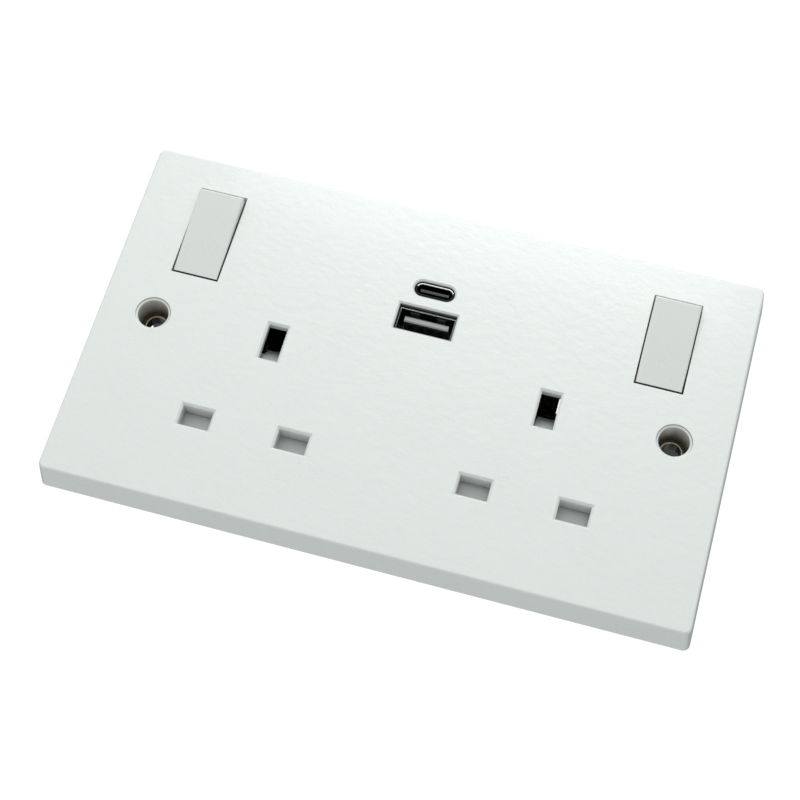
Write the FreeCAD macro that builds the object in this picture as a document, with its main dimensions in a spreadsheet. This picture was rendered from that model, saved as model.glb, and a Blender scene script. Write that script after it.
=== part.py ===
import FreeCAD, Part
import math
import os
from types import SimpleNamespace

import Sketcher

# Two-gang switched wall socket with USB-C and USB-A outlets.
# Frame: X to the right, Y back into the wall, Z up. The origin is on the wall plane,
# midway between the two fixing holes. Millimetres and degrees throughout.

SIZES = {
    # Faceplate shell
    "rim_margin": 13.3,
    "well_margin": 8.5,
    "side_flare": 1.0,
    "end_flare": 0.5,
    "plate_depth": 9.4,
    "skin": 2.2,
    "side_wall": 2.2,
    "corner_radius": 1.6,
    "edge_radius": 0.6,
    "rib_thickness": 1.0,
    "rib_pitch": 15.0,
    "rib_clear_above": 1.367,
    "rib_clear_below": 3.367,
    "rib_root": 0.55,
    "rib_gap": 1.6,
    # Fixing holes, stepped for the screw heads, with brass eyelets
    "fixing_pitch": 120.6,
    "head_rim_radius": 4.1,
    "head_rim_depth": 0.45,
    "head_rim_angle": 53.13,
    "head_recess_radius": 3.5,
    "head_recess_depth": 7.4,
    "fixing_boss_radius": 5.6,
    "fixing_boss_gap": 0.9,
    "eyelet_bore_radius": 2.35,
    "eyelet_wall": 0.3,
    "eyelet_lip": 0.8,
    "eyelet_roll_radius": 3.3,
    "eyelet_roll_end": 0.35,
    # Pin apertures
    "outlet_pitch": 63.5,
    "earth_height": 0.1,
    "pin_drop": 22.23,
    "line_pitch": 22.23,
    "line_slot_width": 7.0,
    "line_slot_height": 4.7,
    "earth_slot_width": 4.4,
    "earth_slot_height": 8.7,
    "slot_chamfer": 0.5,
    "slot_rim_angle": 45.0,
    "sleeve_wall": 1.2,
    "sleeve_depth": 2.0,
    # Rockers and their wells
    "rocker_pitch": 108.5,
    "rocker_height": 23.0,
    "well_width": 11.2,
    "well_height": 23.0,
    "well_wall": 1.2,
    "well_gap": 3.2,
    "rocker_side_gap": 0.3,
    "rocker_face_length": 21.5,
    "rocker_back_length": 20.1,
    "rocker_depth": 6.0,
    "rocker_proud": 1.15,
    "rocker_tilt": 7.2,
    "rocker_edge_radius": 0.4,
    "rocker_face_wall": 1.5,
    "rocker_side_wall": 1.2,
    "pivot_depth": 3.4,
    "trunnion_radius": 1.1,
    "trunnion_end_gap": 0.1,
    "nose_radius": 2.75,
    "nose_reach": 5.2,
    "nose_bore_radius": 1.7,
    "nose_bore_floor": 2.0,
    "plunger_seat": 2.8,
    "plunger_gap": 0.15,
    "plunger_tip_bevel": 1.0,
    # See-saw contact under each rocker
    "seesaw_tilt": 5.0,
    "seesaw_half_length": 8.0,
    "seesaw_width": 5.0,
    "button_height": 1.8,
    "button_thickness": 0.6,
    "fulcrum_gap": 0.1,
    "fulcrum_half_height": 1.2,
    "fulcrum_half_width": 1.7,
    "rivet_radius": 1.7,
    # Fits shared by mating pieces, and how far a root or a cut runs past a face
    "running_gap": 0.06,
    "seat_gap": 0.1,
    "guide_gap": 0.2,
    "slide_gap": 0.3,
    "overrun": 1.0,
    # Shutters
    "shutter_width": 31.5,
    "shutter_height": 6.2,
    "shutter_thickness": 1.8,
    "shutter_slope": 0.8,
    "stem_width": 6.4,
    "ramp_width": 4.2,
    "ramp_front": 2.8,
    "ramp_back": 8.1,
    "ramp_top": 1.4,
    "ramp_rise": 4.8,
    "ramp_foot": 2.6,
    "shutter_seat_height": 1.8,
    "peg_radius": 1.0,
    "peg_length": 2.2,
    "spring_radius": 1.45,
    "spring_wire": 0.4,
    "shutter_spring_length": 10.7,
    "spring_turns": 5.0,
    "nose_spring_radius": 1.3,
    "nose_spring_wire": 0.3,
    "nose_spring_turns": 4.0,
    # Rear housing
    "base_front": 2.8,
    "base_depth": 20.0,
    "base_margin": 5.2,
    "base_head": 0.5,
    "base_bottom": 33.0,
    "base_wall": 1.8,
    "base_corner_radius": 2.5,
    "notch_gap": 0.7,
    "notch_end_gap": 0.9,
    "cell_wall": 1.0,
    "screw_boss_half": 4.8,
    "screw_boss_start": 2.0,
    "screw_seat": 5.0,
    "counterbore_radius": 3.2,
    "screw_radius": 1.45,
    "screw_length": 9.5,
    "screw_head_radius": 2.8,
    "screw_head_height": 2.0,
    "screw_slot_width": 0.8,
    "screw_slot_reach": 1.7,
    "screw_slot_depth": 0.9,
    "pillar_half": 2.8,
    "upper_screw_x": 39.0,
    "upper_screw_inset": 6.5,
    "lower_screw_x": 52.0,
    "lower_screw_z": 26.0,
    # Metal strips and pin clips
    "strip": 0.8,
    "strip_plane": 9.6,
    "riser_plane": 5.6,
    "clip_width": 6.0,
    "clip_leaf": 0.6,
    "clip_nip": 1.5,
    "clip_mouth": 2.6,
    "clip_root": 2.4,
    "clip_front": 0.8,
    "clip_nip_front": 1.5,
    "clip_nip_back": 5.0,
    "line_clip_back": 9.0,
    "earth_nip": 1.75,
    "earth_mouth": 2.8,
    "earth_leaf_height": 7.2,
    "earth_window_width": 4.8,
    "earth_window_height": 9.0,
    "earth_pad_width": 12.0,
    "earth_pad_height": 10.6,
    "earth_strip_height": 6.0,
    "earth_fold_gap": 1.8,
    "earth_strap_margin": 4.2,
    "neutral_strip_low": 30.0,
    "neutral_strip_high": 26.5,
    "neutral_tab_top": 19.3,
    "feed_low": 6.0,
    "feed_high": 8.4,
    "feed_leg_inset": 4.25,
    "feed_leg_half": 1.4,
    "feed_arm_reach": 2.35,
    "feed_arm_half": 1.5,
    "live_leg_gap": 1.2,
    "live_leg_half": 1.4,
    "live_link_low": 13.5,
    "live_link_high": 10.5,
    "live_arm_reach": 2.75,
    "live_arm_half": 1.5,
    "rivet_reach": 6.7,
    # Terminals
    "block_width": 8.4,
    "block_height": 9.0,
    "block_depth": 8.2,
    "wire_hole_width": 5.2,
    "wire_hole_height": 4.4,
    "wire_hole_depth": 2.8,
    "clamp_screw_radius": 1.9,
    "clamp_screw_length": 4.3,
    "clamp_screw_slot": 0.8,
    "earth_terminal_x": 9.0,
    "live_terminal_x": 30.0,
    "live_terminal_z": 21.0,
    "neutral_terminal_z": 22.4,
    "pocket_half_width": 4.8,
    "pocket_wall": 1.2,
    "wire_room": 9.0,
    # USB outlets and supply
    "usb_a_height": 14.2,
    "usb_a_opening_width": 13.3,
    "usb_a_opening_height": 6.2,
    "usb_a_width": 13.1,
    "usb_a_thickness": 5.8,
    "usb_a_tongue_width": 10.4,
    "usb_a_tongue_thickness": 1.5,
    "usb_a_tongue_rise": 0.95,
    "usb_a_tongue_bevel": 0.3,
    "usb_a_tongue_set_back": 1.4,
    "usb_a_set_back": 1.4,
    "usb_a_pad_width": 1.0,
    "usb_a_pad_pitch": 2.3,
    "usb_a_pad_height": 0.15,
    "usb_c_height": 22.3,
    "usb_c_opening_width": 9.3,
    "usb_c_opening_height": 3.7,
    "usb_c_width": 8.9,
    "usb_c_thickness": 3.2,
    "usb_c_tongue_width": 6.7,
    "usb_c_tongue_thickness": 0.7,
    "usb_c_tongue_set_back": 0.7,
    "usb_c_set_back": 0.6,
    "usb_shell_wall": 0.3,
    "connector_body_depth": 4.0,
    "board_front": 4.2,
    "board_thickness": 1.6,
    "board_half_width": 17.0,
    "board_bottom": 10.0,
    "board_inset": 2.0,
    "bay_wall": 1.4,
    "bay_step": 1.6,
    "cover_half_width": 19.0,
    "cover_bottom": 8.4,
    "cover_inset": 0.2,
    "cover_depth": 6.0,
    "cover_wall": 1.5,
    "cover_rim": 3.0,
    "vent_width": 1.6,
    "vent_length": 16.0,
    "vent_pitch": 4.0,
    "clip_leg_width": 8.0,
    "clip_leg_reach": 4.5,
    "clip_leg_thickness": 1.2,
    "core_width": 13.0,
    "core_height": 12.0,
    "core_depth": 8.0,
    "core_limb": 2.6,
    "core_x": 6.5,
    "core_z": 21.0,
    "winding_bulge": 1.6,
    "big_can_x": 8.0,
    "big_can_radius": 3.1,
    "big_can_length": 11.0,
    "small_can_radius": 2.5,
    "small_can_length": 8.0,
}

doc = FreeCAD.newDocument("wall_socket")


class Dim:
    """A size: its present value and the expression that ties it to the sheet."""

    def __init__(self, value, text):
        self.value = float(value)
        self.text = text

    def _join(self, other, sign, value):
        return Dim(value, f"({self.text} {sign} {other.text})")

    def __add__(self, other):
        other = dim(other)
        return self._join(other, "+", self.value + other.value)

    def __radd__(self, other):
        return dim(other) + self

    def __sub__(self, other):
        other = dim(other)
        return self._join(other, "-", self.value - other.value)

    def __rsub__(self, other):
        return dim(other) - self

    def __mul__(self, other):
        other = dim(other)
        return self._join(other, "*", self.value * other.value)

    def __rmul__(self, other):
        return dim(other) * self

    def __truediv__(self, other):
        other = dim(other)
        return self._join(other, "/", self.value / other.value)

    def __neg__(self):
        return Dim(-self.value, f"(0 - {self.text})")


def dim(value):
    """Turn a plain number into a size."""
    if isinstance(value, Dim):
        return value
    return Dim(value, f"({value})" if value < 0 else str(value))


def sine(angle):
    return Dim(math.sin(math.radians(angle.value)), f"sin({angle.text})")


def cosine(angle):
    return Dim(math.cos(math.radians(angle.value)), f"cos({angle.text})")


def make_sheet():
    """Write the driving sizes into the sheet and return them by name."""
    sheet = doc.addObject("Spreadsheet::Sheet", "sizes")
    for row, (name, value) in enumerate(SIZES.items(), start=1):
        sheet.set(f"A{row}", name)
        sheet.set(f"B{row}", str(value))
        sheet.setAlias(f"B{row}", name)
    doc.recompute()
    return SimpleNamespace(**{name: Dim(value, f"sizes.{name}") for name, value in SIZES.items()})


s = make_sheet()

# Positions worked out from the sheet
face_y = -s.plate_depth
skin_y = face_y + s.skin
fixing_x = s.fixing_pitch / 2
outlet_x = s.outlet_pitch / 2
rocker_x = s.rocker_pitch / 2
rim_size = (2 * (fixing_x + s.rim_margin), 2 * (s.rocker_height + s.well_height / 2 + s.well_margin))
front_size = (rim_size[0] - 2 * s.side_flare, rim_size[1] - 2 * s.end_flare)
base_half_width = fixing_x + s.base_margin
base_top = s.rocker_height + s.well_height / 2 + s.base_head
board_top = base_top - s.board_inset
cover_top = base_top - s.cover_inset
upper_screw_z = base_top - s.upper_screw_inset
notch_half_width = fixing_x - s.fixing_boss_radius - s.notch_gap
notch_half_height = s.fixing_boss_radius + s.notch_end_gap
earth_fold_x = notch_half_width - s.base_wall - s.earth_fold_gap - s.strip / 2
feed_leg_x = rocker_x - s.feed_leg_inset
live_leg_x = feed_leg_x - s.feed_leg_half - s.live_leg_gap - s.live_leg_half
pivot_y = face_y + s.pivot_depth
pin_z = s.earth_height - s.pin_drop
sleeve_y = skin_y + s.sleeve_depth
well_y = -s.well_gap
base_back = s.base_depth
base_floor = s.base_depth - s.base_wall
strip_back = s.strip_plane + s.strip
riser_back = s.riser_plane + s.strip
pocket_front = strip_back + s.seat_gap
blade_front = sleeve_y + s.slide_gap
blade_back = blade_front + s.shutter_thickness
blade_low = pin_z - s.shutter_height / 2
blade_high = pin_z + s.shutter_height / 2
rivet_y = s.riser_plane - s.clip_leaf
button_back = (s.strip / 2 + s.button_thickness) * cosine(s.seesaw_tilt)
button_swing = s.seesaw_half_length * sine(s.seesaw_tilt)
seesaw_y = rivet_y - s.running_gap - button_back - button_swing
plunger_reach = (seesaw_y - s.strip / 2 - s.plunger_gap - pivot_y) / cosine(s.rocker_tilt)
rivet_z = s.rocker_height + s.rivet_reach
spring_seat_z = blade_low - s.shutter_spring_length - s.guide_gap
board_back = s.board_front + s.board_thickness
SIDES = {"left": -1, "right": 1}
HANDS = (-1, 1)
RIBS_EACH_SIDE = 4
VENTS_EACH_SIDE = 3
USB_A_PADS = 4
# A coiled wire is square and runs in straight steps
WIRE_SIDES = 4
STEPS_PER_TURN = 8
# Turn about X that lays an upright cylinder along Y, its end to the back
TO_BACK = -90
# Sign of a pocket's taper that narrows it from its front to its floor
TAPER_SIGN = -1


def bind(item, prop, value):
    """Tie one property of an object to the sheet."""
    item.setExpression(prop, dim(value).text)


def new_body(label):
    body = doc.addObject("PartDesign::Body", label)
    body.Label = label
    return body


PLANES = {"x": "YZ_Plane", "y": "XZ_Plane", "z": "XY_Plane"}


def sketch_on(body, name, axis, at):
    """A sketch square to the axis at the given place. Its own axes are the other two, in X, Y, Z order."""
    sketch = body.newObject("Sketcher::SketchObject", name)
    plane = [item for item in body.Origin.OriginFeatures if item.Role == PLANES[axis]][0]
    sketch.AttachmentSupport = [(plane, "")]
    sketch.MapMode = "FlatFace"
    at = -dim(at) if axis == "y" else dim(at)
    sketch.AttachmentOffset = FreeCAD.Placement(FreeCAD.Vector(0, 0, at.value), FreeCAD.Rotation())
    bind(sketch, "AttachmentOffset.Base.z", at)
    return sketch


class Draft:
    """Collects the geometry and the constraints of one sketch, and adds them in one go."""

    def __init__(self, sketch):
        self.sketch = sketch
        self.lines = []
        self.links = []
        self.sizes = []

    def draw(self, item):
        self.lines.append(item)
        return len(self.lines) - 1

    def tie(self, *link):
        self.links.append(Sketcher.Constraint(*link))

    def size(self, kind, item, value, vertex=None):
        """One dimension: of a point from the origin, or of a curve itself."""
        self.sizes.append((kind, item, dim(value), vertex))

    def finish(self):
        self.sketch.addGeometry(self.lines, False)
        constraints = list(self.links)
        for number, (kind, item, value, vertex) in enumerate(self.sizes):
            place = (item,) if vertex is None else (-1, 1, item, vertex)
            constraint = Sketcher.Constraint(kind, *place, value.value)
            constraint.Name = f"size{number}"
            constraints.append(constraint)
        self.sketch.addConstraint(constraints)
        for number, (kind, item, value, vertex) in enumerate(self.sizes):
            self.sketch.setExpression(f"Constraints.size{number}", value.text)


def point(u, v):
    return FreeCAD.Vector(dim(u).value, dim(v).value, 0)


def outline(points):
    """A closed outline of straight lines through the points."""

    def draw(draft):
        count = len(points)
        lines = [
            draft.draw(Part.LineSegment(point(*points[index]), point(*points[(index + 1) % count])))
            for index in range(count)
        ]
        for index, line in enumerate(lines):
            draft.tie("Coincident", line, 2, lines[(index + 1) % count], 1)
            draft.size("DistanceX", line, points[index][0], 1)
            draft.size("DistanceY", line, points[index][1], 1)

    return draw


def rectangle(centre_u, centre_v, width, height):
    low_u, high_u = centre_u - width / 2, centre_u + width / 2
    low_v, high_v = centre_v - height / 2, centre_v + height / 2
    return outline([(low_u, low_v), (high_u, low_v), (high_u, high_v), (low_u, high_v)])


def span(low_u, high_u, low_v, high_v):
    return outline([(low_u, low_v), (high_u, low_v), (high_u, high_v), (low_u, high_v)])


def disc(centre_u, centre_v, radius):
    def draw(draft):
        up = FreeCAD.Vector(0, 0, 1)
        circle = draft.draw(Part.Circle(point(centre_u, centre_v), up, dim(radius).value))
        draft.size("DistanceX", circle, centre_u, 3)
        draft.size("DistanceY", circle, centre_v, 3)
        draft.size("Radius", circle, radius)

    return draw


def stadium(centre_u, centre_v, width, height):
    """A slot with fully rounded ends."""

    def draw(draft):
        radius = height / 2
        reach = (width - height) / 2
        low, high = centre_v - radius, centre_v + radius
        left, right = centre_u - reach, centre_u + reach
        up = FreeCAD.Vector(0, 0, 1)
        quarter = math.pi / 2
        east_circle = Part.Circle(point(right, centre_v), up, radius.value)
        west_circle = Part.Circle(point(left, centre_v), up, radius.value)
        bottom = draft.draw(Part.LineSegment(point(left, low), point(right, low)))
        east = draft.draw(Part.ArcOfCircle(east_circle, -quarter, quarter))
        top = draft.draw(Part.LineSegment(point(right, high), point(left, high)))
        west = draft.draw(Part.ArcOfCircle(west_circle, quarter, 3 * quarter))
        for one, other in ((bottom, east), (east, top), (top, west), (west, bottom)):
            draft.tie("Tangent", one, 2, other, 1)
        for arc, centre in ((east, right), (west, left)):
            draft.size("DistanceX", arc, centre, 3)
            draft.size("DistanceY", arc, centre_v, 3)
            draft.size("Radius", arc, radius)

    return draw


def between(one, other):
    """The two places in rising order."""
    return (one, other) if one.value < other.value else (other, one)


def fill(sketch, *shapes):
    """Draw the shapes in one sketch."""
    draft = Draft(sketch)
    for draw in shapes:
        draw(draft)
    draft.finish()


def add(body, name, axis, low, high, *shapes):
    """Add material between two places along an axis."""
    low, high = dim(low), dim(high)
    sketch = sketch_on(body, f"{name}_outline", axis, high if axis == "y" else low)
    fill(sketch, *shapes)
    pad = body.newObject("PartDesign::Pad", name)
    pad.Profile = sketch
    pad.Length = (high - low).value
    bind(pad, "Length", high - low)
    body.Tip = pad
    return pad


def cut(body, name, axis, low, high, *shapes, taper=None):
    """Remove material between two places along an axis, narrowing by the taper from its front."""
    low, high = dim(low), dim(high)
    sketch = sketch_on(body, f"{name}_outline", axis, low if axis == "y" else high)
    fill(sketch, *shapes)
    pocket = body.newObject("PartDesign::Pocket", name)
    pocket.Profile = sketch
    pocket.Length = (high - low).value
    bind(pocket, "Length", high - low)
    if taper is not None:
        bind(pocket, "TaperAngle", TAPER_SIGN * taper)
    body.Tip = pocket
    return pocket


def flared(body, name, kind, front, front_size, back, back_size):
    """A four-sided form centred on Y that widens from its front size to its back size."""
    wedge = body.newObject(kind, name)
    sizes = {"Ymin": front, "Ymax": back}
    for axis, near, far in zip("XZ", front_size, back_size):
        sizes[f"{axis}min"] = -near / 2
        sizes[f"{axis}max"] = near / 2
        sizes[f"{axis}2min"] = -far / 2
        sizes[f"{axis}2max"] = far / 2
    for prop, value in sizes.items():
        bind(wedge, prop, value)
    body.Tip = wedge
    return wedge


def dress(body, name, kind, prop, size, chosen):
    """Round or bevel the edges of the body's tip that the test picks."""
    doc.recompute()
    tip = body.Tip
    names = [f"Edge{i}" for i, edge in enumerate(tip.Shape.Edges, start=1) if chosen(edge)]
    if not names:
        raise ValueError(f"{body.Label}: no edges for {name}")
    feature = body.newObject(kind, name)
    feature.Base = (tip, names)
    setattr(feature, prop, dim(size).value)
    bind(feature, prop, size)
    body.Tip = feature
    return feature


def round_edges(body, name, radius, chosen):
    return dress(body, name, "PartDesign::Fillet", "Radius", radius, chosen)


def bevel_edges(body, name, size, chosen):
    return dress(body, name, "PartDesign::Chamfer", "Size", size, chosen)


def runs_along(edge, axis, share=0.9):
    """True for a straight edge that lies mostly along the axis."""
    if len(edge.Vertexes) < 2:
        return False
    start, end = edge.Vertexes[0].Point, edge.Vertexes[-1].Point
    return abs(getattr(end - start, axis)) > share * edge.Length


def lies_at(edge, axis, value, tolerance=0.01):
    return all(abs(getattr(vertex.Point, axis) - value) < tolerance for vertex in edge.Vertexes)


def place(item, x=0, y=0, z=0, axis=None, angle=0):
    """Set an object's place, tied to the sheet."""
    x, y, z, angle = dim(x), dim(y), dim(z), dim(angle)
    turn = FreeCAD.Rotation(FreeCAD.Vector(*axis), angle.value) if axis else FreeCAD.Rotation()
    item.Placement = FreeCAD.Placement(FreeCAD.Vector(x.value, y.value, z.value), turn)
    for prop, value in (("x", x), ("y", y), ("z", z)):
        bind(item, f"Placement.Base.{prop}", value)
    if axis:
        bind(item, "Placement.Rotation.Angle", angle)


def rod(name, radius, length, x, y, z):
    """A round bar along Y from the given place."""
    item = doc.addObject("Part::Cylinder", name)
    bind(item, "Radius", radius)
    bind(item, "Height", length)
    place(item, x, y, z, (1, 0, 0), TO_BACK)
    return item


def box(name, low, high):
    """A box between two corners."""
    item = doc.addObject("Part::Box", name)
    for prop, start, end in zip(("Length", "Width", "Height"), low, high):
        bind(item, prop, dim(end) - dim(start))
    place(item, *low)
    return item


def less(name, base, tool):
    item = doc.addObject("Part::Cut", name)
    item.Base = base
    item.Tool = tool
    return item


def group(name, members):
    item = doc.addObject("Part::Compound", name)
    item.Links = members
    return item


def screw_places():
    """Where the housing screws stand, seen from the front."""
    return [
        (-s.upper_screw_x, upper_screw_z),
        (s.upper_screw_x, upper_screw_z),
        (-s.lower_screw_x, -s.lower_screw_z),
        (s.lower_screw_x, -s.lower_screw_z),
    ]


def pin_places():
    """Centres of the live and neutral apertures."""
    return [(side * outlet_x + pole * s.line_pitch / 2, pin_z) for side in HANDS for pole in HANDS]


def terminal_places():
    """Centre of each terminal block by name."""
    return {
        "live": (s.live_terminal_x, s.live_terminal_z),
        "neutral": (dim(0), -s.neutral_terminal_z),
        "earth_left": (-s.earth_terminal_x, s.earth_height),
        "earth_right": (s.earth_terminal_x, s.earth_height),
    }


def make_faceplate():
    body = new_body("faceplate")
    flared(body, "shell", "PartDesign::AdditiveWedge", face_y, front_size, 0, rim_size)
    round_edges(body, "corners", s.corner_radius, lambda edge: runs_along(edge, "y", share=0.3))
    round_edges(body, "front_edge", s.edge_radius, lambda edge: lies_at(edge, "y", face_y.value))
    flare = s.skin / s.plate_depth
    inner_front = [
        near + (far - near) * flare - 2 * s.side_wall for near, far in zip(front_size, rim_size)
    ]
    inner_rim = [size - 2 * s.side_wall for size in rim_size]
    flared(body, "hollow", "PartDesign::SubtractiveWedge", skin_y, inner_front, 0, inner_rim)

    sleeves = [
        rectangle(x, z, s.line_slot_width + 2 * s.sleeve_wall, s.line_slot_height + 2 * s.sleeve_wall)
        for x, z in pin_places()
    ]
    add(body, "sleeves", "y", skin_y, sleeve_y, *sleeves)
    well_walls = [
        rectangle(
            side * rocker_x,
            s.rocker_height,
            s.well_width + 2 * s.well_wall,
            s.well_height + 2 * s.well_wall,
        )
        for side in HANDS
    ]
    add(body, "well_walls", "y", skin_y, well_y, *well_walls)
    bosses = [disc(side * fixing_x, dim(0), s.fixing_boss_radius) for side in HANDS]
    add(body, "fixing_bosses", "y", skin_y, -s.fixing_boss_gap, *bosses)
    pillars = [rectangle(x, z, 2 * s.pillar_half, 2 * s.pillar_half) for x, z in screw_places()]
    add(body, "pillars", "y", skin_y, s.screw_boss_start - s.seat_gap, *pillars)

    guide_gap = s.stem_width / 2 + s.guide_gap
    guides = []
    seats = []
    for side in HANDS:
        for hand in HANDS:
            near = side * outlet_x + hand * guide_gap
            far = near + hand * s.sleeve_wall
            guide_top = s.earth_height - s.earth_slot_height / 2 - s.overrun
            guides.append(span(*between(near, far), blade_high + s.seat_gap, guide_top))
        seat_half = s.spring_radius + s.sleeve_wall
        seats.append(
            span(
                side * outlet_x - seat_half,
                side * outlet_x + seat_half,
                spring_seat_z - s.sleeve_wall,
                spring_seat_z,
            )
        )
    add(body, "shutter_guides", "y", skin_y, -s.base_front - s.guide_gap, *guides)
    add(body, "spring_seats", "y", skin_y, -s.base_front - s.guide_gap, *seats)

    rib_root = inner_front[1] / 2 + s.rib_root
    half = s.rib_thickness / 2
    ribs = []
    for step in range(-RIBS_EACH_SIDE, RIBS_EACH_SIDE + 1):
        rib_x = step * s.rib_pitch
        ribs.append(span(rib_x - half, rib_x + half, base_top + s.rib_clear_above, rib_root))
        ribs.append(span(rib_x - half, rib_x + half, -rib_root, -(s.base_bottom + s.rib_clear_below)))
    add(body, "ribs", "y", skin_y, -s.rib_gap, *ribs)

    line_slots = [rectangle(x, z, s.line_slot_width, s.line_slot_height) for x, z in pin_places()]
    cut(body, "line_slots", "y", face_y, sleeve_y, *line_slots)
    earth_slots = [
        rectangle(side * outlet_x, s.earth_height, s.earth_slot_width, s.earth_slot_height)
        for side in HANDS
    ]
    cut(body, "earth_slots", "y", face_y, skin_y, *earth_slots)
    rims = [
        rectangle(x, z, s.line_slot_width + 2 * s.slot_chamfer, s.line_slot_height + 2 * s.slot_chamfer)
        for x, z in pin_places()
    ]
    rims += [
        rectangle(
            side * outlet_x,
            s.earth_height,
            s.earth_slot_width + 2 * s.slot_chamfer,
            s.earth_slot_height + 2 * s.slot_chamfer,
        )
        for side in HANDS
    ]
    rims.append(
        rectangle(
            dim(0),
            s.usb_a_height,
            s.usb_a_opening_width + 2 * s.slot_chamfer,
            s.usb_a_opening_height + 2 * s.slot_chamfer,
        )
    )
    rims.append(
        stadium(
            dim(0),
            s.usb_c_height,
            s.usb_c_opening_width + 2 * s.slot_chamfer,
            s.usb_c_opening_height + 2 * s.slot_chamfer,
        )
    )
    cut(body, "slot_rims", "y", face_y, face_y + s.slot_chamfer, *rims, taper=s.slot_rim_angle)
    cut(
        body,
        "usb_openings",
        "y",
        face_y,
        skin_y,
        rectangle(dim(0), s.usb_a_height, s.usb_a_opening_width, s.usb_a_opening_height),
        stadium(dim(0), s.usb_c_height, s.usb_c_opening_width, s.usb_c_opening_height),
    )
    wells = [
        rectangle(side * rocker_x, s.rocker_height, s.well_width, s.well_height) for side in HANDS
    ]
    cut(body, "wells", "y", face_y, well_y, *wells)
    bearing_reach = s.well_width / 2 + s.well_wall
    bearing_height = 2 * (s.trunnion_radius + s.running_gap)
    bearing_length = well_y - pivot_y + bearing_height + s.overrun
    bearing_middle = pivot_y - bearing_height / 2 + bearing_length / 2
    for name, side in SIDES.items():
        centre = side * rocker_x
        bearing = stadium(bearing_middle, s.rocker_height, bearing_length, bearing_height)
        cut(body, f"bearings_{name}", "x", centre - bearing_reach, centre + bearing_reach, bearing)
    for name, side in SIDES.items():
        x = side * fixing_x
        rim = disc(x, dim(0), s.head_rim_radius)
        cut(body, f"head_rim_{name}", "y", face_y, face_y + s.head_rim_depth, rim, taper=s.head_rim_angle)
        recess = disc(x, dim(0), s.head_recess_radius)
        cut(body, f"head_recess_{name}", "y", face_y, face_y + s.head_recess_depth, recess)
        bore = disc(x, dim(0), s.eyelet_bore_radius + s.eyelet_wall + s.running_gap)
        cut(body, f"eyelet_seat_{name}", "y", face_y, -s.fixing_boss_gap, bore)
    pilots = [disc(x, z, s.screw_radius + s.running_gap) for x, z in screw_places()]
    cut(body, "pilot_holes", "y", s.screw_seat - s.screw_length - s.overrun, s.screw_boss_start, *pilots)
    return body


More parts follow.
